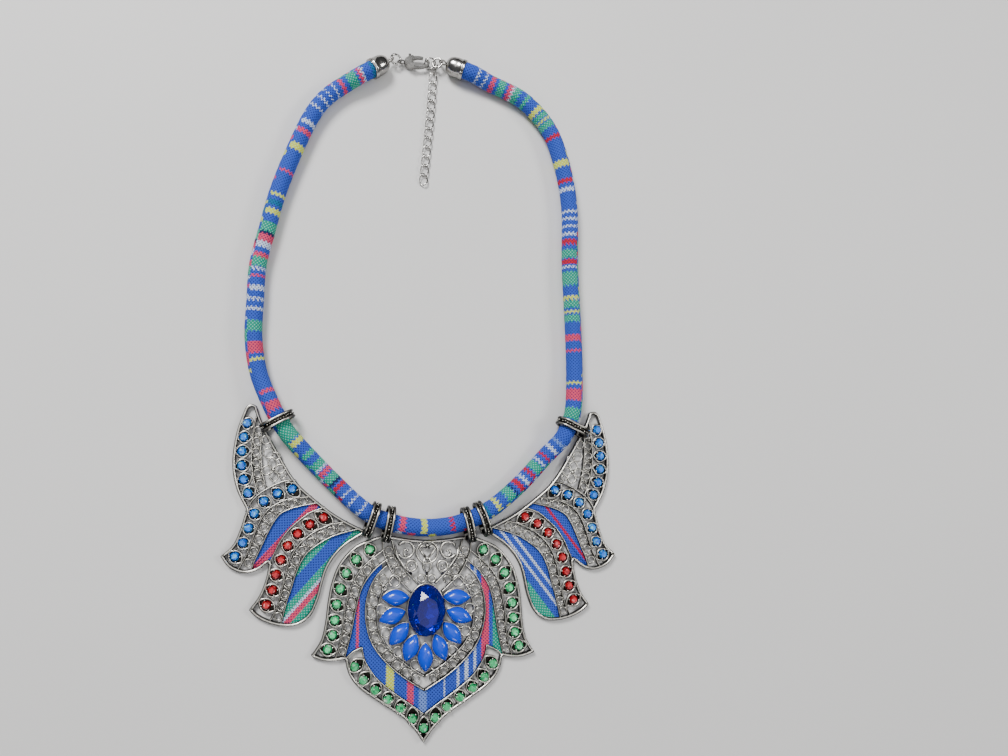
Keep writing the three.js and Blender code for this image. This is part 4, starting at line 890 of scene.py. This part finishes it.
def seats(build):
    # Settings of the petals and of the oval, and loops between the petals' tips.
    petals, wire, z = allPetals(), seatSize["wire"], lace["scrollHeight"]
    build.slab(ovalPoints(0.97, 32), 0.0, 1.5)
    build.wire(ovalPoints(1.0, 40), seatSize["ovalWire"], 1.55, closed=True)
    for petal in petals:
        build.slab(petalLoop(*petal, 0.98), 0.1, 1.5)
        build.wire(petalLoop(*petal, 1.02), wire, 1.6, closed=True, sides=6)
    tips = [Vector((x, y)) + heading(turn) * petalSize["length"] / 2 for x, y, turn in petals]
    for a, b in zip(tips, tips[1:]):
        m = a.lerp(b, 0.5)
        inward = (Vector(ovalSize["centre"]) - m).normalized()
        place = m + inward * seatSize["loopIn"]
        build.wire(circle(place.x, place.y, seatSize["loopRadius"], 16), wire, z, closed=True, sides=6)
        build.wire([m + inward * reach for reach in seatSize["stem"]], wire, z, sides=6)
    for side in (-1, 1):
        for x, y, radius, steps, ringWire, sides in seatSize["endRings"]:
            build.wire(circle(side * x, y, radius, steps), ringWire, z, closed=True, sides=sides)


def petalStones(material):
    low, rise = petalSize["low"], petalSize["rise"]
    for i, petal in enumerate(allPetals(), 1):
        build = Build()
        build.loft([level(petalLoop(*petal, scale), low + share * rise)
                    for scale, share in petalSize["profile"]])
        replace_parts(build.make(f"petal_{i}", [material], slot="azure_stone"), f"petal_stone_{i}")


def ovalStone(glass, foil):
    low, girdle, high = ovalSize["low"], ovalSize["girdle"], ovalSize["high"]
    shell = Build()
    shell.loft([level(ovalPoints(0.97, 16), low), level(ovalPoints(1.0, 16), girdle - 0.3),
                level(ovalPoints(1.0, 16), girdle)], ends=(True, False), smooth=False)
    # Crown: kites and stars between the girdle and the table.
    kite = len(shell.verts)
    rim, table = kite - 16, kite + 8
    shell.verts += level(ovalPoints(0.86, 8, 0.5), girdle + (high - girdle) * 0.55)
    shell.verts += level(ovalPoints(0.60, 8), high)
    for i in range(8):
        a, b, c = (rim + (2 * i + k) % 16 for k in range(3))
        m, t, u = kite + i, table + i, table + (i + 1) % 8
        for corners in ((a, b, m), (b, c, m), (a, m, t), (m, u, t), (c, u, m)):
            shell.face(corners)
    shell.face(table + i for i in range(8))
    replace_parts(shell.make("oval_stone", [glass], slot="royal_blue_glass"), "centre_stone")
    x, y = ovalSize["centre"]
    ridge = [(x + (u - x) * 0.25, y + (v - y) * 0.5) for u, v in ovalPoints(0.6, 16)]
    under = Build()
    under.loft([level(ovalPoints(0.93, 16), girdle - 0.1), level(ovalPoints(0.62, 16, 0.25), girdle - 0.75),
                level(ridge, low + 0.25)], ends=(False, True), smooth=False)
    under.make("oval_stone_back", [foil], slot="royal_blue_glass")


# Cord: route, then thread rings from the left cap to the right one.
cordRoute = [
    (-21.6, 144.3, "nose"), (-28.4, 139.4, "mouth"), (-35.2, 135.0, "floor"), (-41.7, 129.4, "floor"),
    (-46.6, 122.3, "floor"), (-52.9, 107.0, "floor"), (-58.1, 91.1, "floor"), (-61.4, 76.5, "floor"),
    (-63.9, 64.1, "floor"), (-64.3, 51.0, "floor"), (-64.3, 37.2, "floor"), (-62.0, 24.8, "floor"),
    (-57.2, 13.9, "bail"), (-54.1, 8.2, "bail"), (-50.6, 3.2, "bail"), (-41.5, -6.4, "floor"),
    (-31.6, -15.9, "floor"), (-25.9, -20.9, "bail"), (-19.8, -25.0, "bail"), (-14.5, -26.9, "bail"),
    (-8.0, -28.3, "bail"), (0.6, -29.0, "floor"), (8.6, -27.9, "bail"), (14.2, -26.2, "bail"),
    (19.0, -24.1, "bail"), (24.6, -20.6, "bail"), (34.7, -12.2, "floor"), (44.0, -2.2, "floor"),
    (49.6, 4.0, "bail"), (52.2, 9.0, "bail"), (53.8, 15.0, "bail"), (54.8, 30.1, "floor"),
    (54.1, 49.8, "floor"), (53.1, 69.7, "floor"), (52.8, 94.4, "floor"), (49.8, 110.6, "floor"),
    (44.6, 124.2, "floor"), (34.2, 135.2, "floor"),
]
cordSize = {
    "radius": 3.1, "sides": 36, "step": 0.55, "rightEnd": (6.2495, 146.4189), "rightTurn": -20.0,
    "lastPoints": [(14.6, "floor"), (8.4, "mouth"), (0, "nose")],
    "seats": {"floor": 3.32, "bail": 4.8, "mouth": 4.563, "nose": 3.606},
    "seamAngle": 232, "seamWidth": 14, "seamDepth": 0.05, "bumps": 0.012, "seamFrom": 128, "seamShift": 3.5,
    "ringWander": 0.35,
}


def cordLine(points):
    # A smooth line that slows at close points.
    points = [Vector(p) for p in points]
    points = [points[0] * 2 - points[1]] + points + [points[-1] * 2 - points[-2]]
    dense = []
    for i in range(1, len(points) - 2):
        p0, p1, p2, p3 = points[i - 1:i + 3]
        d0, d1, d2 = ((b - a).length ** 0.5 for a, b in ((p0, p1), (p1, p2), (p2, p3)))
        v1 = ((p1 - p0) / d0 - (p2 - p0) / (d0 + d1) + (p2 - p1) / d1) * d1
        v2 = ((p2 - p1) / d1 - (p3 - p1) / (d1 + d2) + (p3 - p2) / d2) * d1
        dense += [cubic(p1, p2, v1, v2, k / 40) for k in range(40)]
    return Line(dense + [points[-2]])


# Widths in mm of the thread rings along the cord, from the left cap.
cordRings = [
    ("blue", 6.7), ("teal", 2.2), ("blue", 3.2), ("white", 0.7), ("pink", 1.2), ("blue", 0.8),
    ("green", 3.5), ("blue", 2.5), ("pink", 1.3), ("blue", 2.3), ("white", 0.6), ("blue", 2.6),
    ("white", 0.6), ("blue", 2.6), ("white", 0.6), ("blue", 3.2), ("white", 0.7), ("blue", 5.7),
    ("white", 1.6), ("blue", 2.3), ("pink", 1.7), ("blue", 4.4), ("yellow", 2.4), ("blue", 8.4),
    ("pink", 1.1), ("blue", 8.5), ("yellow", 1.0), ("blue", 1.6), ("teal", 1.9), ("blue", 1.5),
    ("yellow", 1.9), ("blue", 3.1), ("green", 3.8), ("dark", 1.0), ("pink", 2.8), ("white", 2.2),
    ("blue", 1.9), ("pink", 1.7), ("green", 3.5), ("blue", 0.4), ("white", 0.9), ("blue", 1.8),
    ("pink", 0.9), ("blue", 2.9), ("white", 1.9), ("blue", 2.7), ("white", 0.9), ("blue", 2.6),
    ("white", 0.9), ("blue", 3.8), ("green", 3.8), ("blue", 3.7), ("pink", 4.2), ("blue", 1.7),
    ("yellow", 1.2), ("blue", 11.3), ("pink", 1.1), ("blue", 3.2), ("pink", 3.2), ("blue", 3.7),
    ("green", 5.0), ("green", 3.2), ("blue", 0.6), ("yellow", 1.8), ("blue", 4.0), ("green", 2.1),
    ("blue", 3.0), ("green", 2.5), ("white", 0.9), ("blue", 0.7), ("pink", 1.6), ("blue", 0.7),
    ("green", 3.1), ("dark", 1.0), ("blue", 1.0), ("red", 1.6), ("blue", 2.9), ("white", 0.6),
    ("blue", 2.7), ("white", 0.7), ("blue", 3.1), ("white", 0.6), ("blue", 9.9), ("white", 2.3),
    ("blue", 2.1), ("pink", 2.1), ("blue", 5.4), ("yellow", 2.5), ("blue", 9.5), ("red", 0.9),
    ("blue", 10.0), ("yellow", 0.6), ("blue", 1.5), ("teal", 1.4), ("blue", 2.8), ("yellow", 1.5),
    ("blue", 3.3), ("green", 3.4), ("blue", 0.4), ("dark", 0.7), ("blue", 1.5), ("red", 1.8), ("blue", 1.2),
    ("white", 1.4), ("blue", 2.2), ("red", 1.2), ("blue", 1.0), ("green", 3.0), ("blue", 0.7),
    ("white", 0.9), ("blue", 1.9), ("red", 0.8), ("blue", 3.0), ("white", 1.4), ("blue", 2.2),
    ("pale", 1.1), ("blue", 5.9), ("white", 1.3), ("blue", 2.5), ("green", 4.1), ("blue", 2.7),
    ("pink", 4.5), ("blue", 1.8), ("yellow", 0.9), ("blue", 11.7), ("pink", 0.9), ("blue", 3.5),
    ("pink", 2.2), ("blue", 5.1), ("green", 2.5), ("blue", 0.8), ("yellow", 0.8), ("blue", 1.3),
    ("green", 2.5), ("blue", 0.4), ("yellow", 1.6), ("blue", 4.0), ("green", 5.4), ("blue", 1.5),
    ("white", 0.7), ("blue", 0.7), ("red", 1.6), ("blue", 0.8), ("green", 3.1), ("blue", 2.1), ("red", 1.8),
    ("blue", 1.8), ("white", 0.9), ("blue", 2.3), ("white", 0.8), ("blue", 2.2), ("white", 0.8),
    ("blue", 2.0), ("white", 0.8), ("blue", 7.7), ("white", 1.6), ("blue", 1.9), ("red", 1.8),
    ("blue", 4.8), ("yellow", 2.5), ("blue", 8.9), ("red", 1.5), ("blue", 3.7), ("green", 2.3),
    ("blue", 0.6), ("yellow", 1.1), ("blue", 0.4), ("green", 2.0), ("blue", 0.8), ("yellow", 1.8),
    ("blue", 4.1), ("green", 1.5), ("blue", 2.6), ("green", 2.5), ("white", 0.8), ("pink", 1.7),
    ("blue", 1.2), ("green", 2.8), ("blue", 1.7), ("pink", 1.7), ("blue", 2.3), ("white", 0.7),
    ("blue", 2.4), ("white", 0.7), ("blue", 6.3),
]


def cordPiece(material):
    seats, (endX, endY) = cordSize["seats"], cordSize["rightEnd"]
    turn = math.radians(cordSize["rightTurn"])
    points = [(x, y, seats[seat]) for x, y, seat in cordRoute]
    points += [(endX + math.cos(turn) * back, endY + math.sin(turn) * back, seats[seat])
               for back, seat in cordSize["lastPoints"]]
    line = cordLine(points)
    path = line.part(0, 1, cordSize["step"])
    radius, sides = cordSize["radius"], cordSize["sides"]
    loops = []
    for i, p in enumerate(path):
        ahead = aheadAt(path, i)
        side = Vector((0, 0, 1)).cross(ahead).normalized()
        over = ahead.cross(side)
        loops.append([])
        for k in range(sides):
            # The seam is a shallow fold along the side that faces the neck.
            t = 2 * math.pi * k / sides
            fold = math.exp(-((math.degrees(t) - cordSize["seamAngle"]) / cordSize["seamWidth"]) ** 2)
            bumps = cordSize["bumps"] * math.sin(i * 0.9 + k * 1.7)
            r = radius * (1 - cordSize["seamDepth"] * fold + bumps)
            loops[-1].append(p + side * math.cos(t) * r + over * math.sin(t) * r)
    build = Build()
    build.loft(loops)
    obj = build.make("cloth_cord", [material], slot="cord_cloth")
    paintRings(obj.data, line.length, len(path))
    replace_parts(obj, "cord")
    print("cord", round(line.length), "mm")


def paintRings(mesh, length, rows):
    # Thread colours and the weave's UV map; the rings don't quite meet at the seam.
    sides, around = cordSize["sides"], 2 * math.pi * cordSize["radius"]
    total = sum(width for _, width in cordRings)
    starts, place = [], 0.0
    for _, width in cordRings:
        starts.append(place)
        place += width * length / total
    uvs, colours = [], []
    for i in range(rows - 1):
        for k in range(sides):
            distance = length * i / (rows - 1) + cordSize["ringWander"] * math.sin(k * 2.1 + i * 0.37)
            if (360.0 * k / sides - cordSize["seamFrom"]) % 360 > 180:
                distance += cordSize["seamShift"]
            thread = cordRings[max(bisect_right(starts, distance) - 1, 0)][0]
            colours += [(*threads[thread], 1.0)] * 4
            uvs += [(length * row / (rows - 1) * mm, around * column / sides * mm)
                    for row, column in ((i, k), (i, k + 1), (i + 1, k + 1), (i + 1, k))]
    uvs += [(0.0, 0.0)] * sides * 2
    colours += [(*threads["blue"], 1.0)] * sides * 2
    layer = mesh.uv_layers.new(name="weave")
    layer.data.foreach_set("uv", [c for uv in uvs for c in uv])
    paint = mesh.color_attributes.new("thread", "FLOAT_COLOR", "CORNER")
    paint.data.foreach_set("color", [c for colour in colours for c in colour])


# Cloth insets: direction of the stripes in degrees, then the stripes across it in the frame's millimetres.
clothLooks = {
    "left_cloth_1": (47.9, [(-1.8, 0.5, "pink")]),
    "left_cloth_2": (48.6, [(-60, -21.3, "green"), (-21.3, -19.4, "pink"), (-19.4, -18.5, "white"),
                            (-18.5, -16.0, "green"), (-12.0, 60, "green")]),
    "right_cloth_1": (128.5, [(-7.5, -6.8, "red")]),
    "right_cloth_2": (128.7, [(8.9, 9.7, "white"), (11.7, 12.4, "white"), (15.3, 60, "green")]),
    "centre_cloth": (90.6, [(-60, -24.0, "green"), (-22.5, -20.1, "pink"), (-17.9, -17.1, "white"),
                            (-15.0, -14.0, "white"), (-12.0, -11.0, "white"), (-6.7, -6.1, "white"),
                            (-0.1, 2.6, "pale"), (4.6, 6.6, "pink"), (11.5, 14.4, "yellow"),
                            (24.0, 25.1, "pink")]),
}
clothSize = {"low": 0.15, "high": 0.95, "leastSide": 10.2, "leastShare": 0.302}


def flatSize(loop):
    # Sides of the smallest rectangle about a loop, to 3 degrees.
    sizes = []
    for degrees in range(0, 180, 3):
        c, s = math.cos(math.radians(degrees)), math.sin(math.radians(degrees))
        us, vs = [p[0] * c + p[1] * s for p in loop], [p[1] * c - p[0] * s for p in loop]
        sizes.append((max(us) - min(us), max(vs) - min(vs)))
    return min(sizes, key=lambda size: size[0] * size[1])


def cloth(node, loop):
    # One stretched cloth in its window.
    turn, bands = clothLooks[node]
    area = abs(signedArea(loop))
    width, length = (max(side, clothSize["leastSide"]) for side in flatSize(loop))
    # This shortens the rectangle of the middle cloth, which is an open U; the area stays the real one.
    length = min(length, area / clothSize["leastShare"] / width)
    build = Build()
    build.slab(loop, clothSize["low"], clothSize["high"])
    piece = build.make(f"{node}_weave", [stripedCloth(f"{node}_threads", turn, bands)], slot="woven_cloth")
    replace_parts(piece, node)
    print(node, "flat", round(width, 1), "by", round(length, 1), "mm, area", round(area / width / length, 2))


# Caps, rings and chain.
rowSize = {
    "caps": {"cap_left": ((-21.6, 144.3, 3.606), (0.8061, 0.5808, -0.1134), (-18.053, 146.856, 3.107)),
             "cap_right": ((6.2495, 146.4189, 3.606), (-0.9337, 0.3398, -0.1132), (2.141, 147.914, 3.108))},
    "capSink": 4.6, "capEye": (1.3, 0.32),
    "capProfile": [(3.15, 0.0), (3.55, 0.0), (3.85, 0.15), (3.85, 0.5), (3.66, 0.65), (3.85, 0.8),
                   (3.85, 1.3), (3.62, 1.5), (3.66, 3.3), (3.5, 4.8), (3.1, 6.0), (2.4, 6.9), (1.5, 7.4), (0.6, 7.55),
                   (0.02, 7.6)],
    "rings": {"ring_left": ((-15.977, 147.612, 2.5435), (-0.0523, 0.9986, 0),
                            (0.9655, 0.0506, -0.2579), 2.0, 0.4),
              "ring_hook": ((-2.649, 147.663, 1.98), (-0.0322, 0.6148, 0.788),
                            (0.99863, 0.05234, 0), 2.0, 0.32),
              "ring_right": ((0.1015, 147.8072, 2.5042), (-0.0523, 0.9986, 0),
                             (0.9578, 0.0502, 0.2834), 1.85, 0.4)},
    "connector": ((-0.5376, 145.376, 1.863), (0.3237, 0.735, 0.596), 1.818, 1.05, 0.27),
    "chain": [(-1.2, 142.6), (-2.0, 127.0), (-4.1, 101.0)],
    "chainHeight": 0.78, "links": 12, "linkPitch": 3.76, "linkSize": (2.32, 1.45, 0.27), "linkTwist": 0.46,
}


def hoop(build, points, across, radius, sides=10):
    # A closed round wire through points that lie in one plane; across is a direction square to the plane.
    build.loft([ringAround(p, across, aheadAt(points, i, True).cross(across), radius, sides)
                for i, p in enumerate(points)], closed=True)


def longRing(centre, up, across, halfLength, halfWidth, steps=28, twist=0.0):
    # Points of a rounded link; up runs along it and across runs over it.
    points = []
    for i in range(steps):
        t = 2 * math.pi * i / steps
        lift = Vector((0, 0, twist * math.sin(2 * t)))
        points.append(centre + up * math.cos(t) * halfLength + across * math.sin(t) * halfWidth + lift)
    return points


def metalRow(material):
    high = Vector((0, 0, 1))

    def finish(build, name, node):
        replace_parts(build.make(f"{name}_bright", [material], slot="polished_silver"), node)

    radius, wire = rowSize["capEye"]
    for name, (end, axis, eyePlace) in rowSize["caps"].items():
        build, axis = Build(), Vector(axis).normalized()
        mouth = Vector(end) - axis * rowSize["capSink"]
        side = high.cross(axis).normalized()
        over = axis.cross(side)
        loops = [ringAround(mouth + axis * along, side, over, wide, 36) for wide, along in rowSize["capProfile"]]
        build.loft(loops, ends=(False, False))
        hoop(build, ringAround(Vector(eyePlace), axis, over, radius, 24), side, wire)
        finish(build, name, name)
    for name, (centre, across, up, radius, wire) in rowSize["rings"].items():
        build, across, up = Build(), Vector(across).normalized(), Vector(up).normalized()
        hoop(build, ringAround(Vector(centre), across, up, radius, 32), across.cross(up), wire)
        finish(build, name, name)
    centre, up, halfLength, halfWidth, wire = rowSize["connector"]
    build, up = Build(), Vector(up).normalized()
    flat = up.cross(high).normalized()
    hoop(build, longRing(Vector(centre), up, up.cross(flat).normalized(), halfLength, halfWidth), flat, wire)
    finish(build, "chain_connector", "chain_connector")
    line = smoothLine(rowSize["chain"])
    halfLength, halfWidth, wire = rowSize["linkSize"]
    for i in range(rowSize["links"]):
        share = i * rowSize["linkPitch"] / line.length
        place = line.at(share)
        step = 0.004 if share + 0.004 <= 1 else -0.004
        up = (line.at(share + step) - place).to_3d().normalized() * math.copysign(1, step)
        centre = Vector((place.x, place.y, rowSize["chainHeight"]))
        build = Build()
        link = longRing(centre, up, high.cross(up), halfLength, halfWidth, twist=rowSize["linkTwist"])
        hoop(build, link, high, wire)
        finish(build, f"link_{i + 1:02d}", f"chain_link_{i + 1:02d}")


def dressNode(name, material):
    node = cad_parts[name]
    node.data.materials.clear()
    node.data.materials.append(material)


makeCamera()
makeStudio()
cordPiece(paintedCloth())
# Silver toned by height, a dark copy with oxide plus painted shade, and a light copy with wear plus painted light.
metals = [castSilver("laceSilver"), castSilver("hollowOxideShadeSilver", False, 0.1),
          castSilver("raisedWearLightSilver", False, 0.85)]
leftBails, rightBails = ("leftUpper", "leftLower"), ("rightUpper", "rightLower")
leftPlate, leftStones, leftWindows = wing("wing_left", -1, wingSize["left"], leftBails, metals)
rightPlate, rightStones, rightWindows = wing("wing_right", 1, wingSize["right"], rightBails, metals)
middlePlate, middleStones, middleWindow = centrePlate("plate_middle", metals)
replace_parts(leftPlate, "left_wing")
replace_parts(rightPlate, "right_wing")
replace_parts(middlePlate, "centre_plate")
for side, windows in (("left", leftWindows), ("right", rightWindows)):
    for i, window in enumerate(windows, 1):
        cloth(f"{side}_cloth_{i}", window)
cloth("centre_cloth", middleWindow)
smallStones("stones_sky", leftStones["blue"] + rightStones["blue"], cutStone("skyStone"))
smallStones("stones_red", leftStones["red"] + rightStones["red"], cutStone("redStone"))
smallStones("stones_green", middleStones, cutStone("greenStone"))
petalStones(cutStone("azureStone"))
ovalStone(blueGlass(), cutStone("ovalFoil"))
polished = brightSilver()
metalRow(polished)
for name in ("clasp_body", "clasp_lever"):
    dressNode(name, polished)
print("all pieces made")
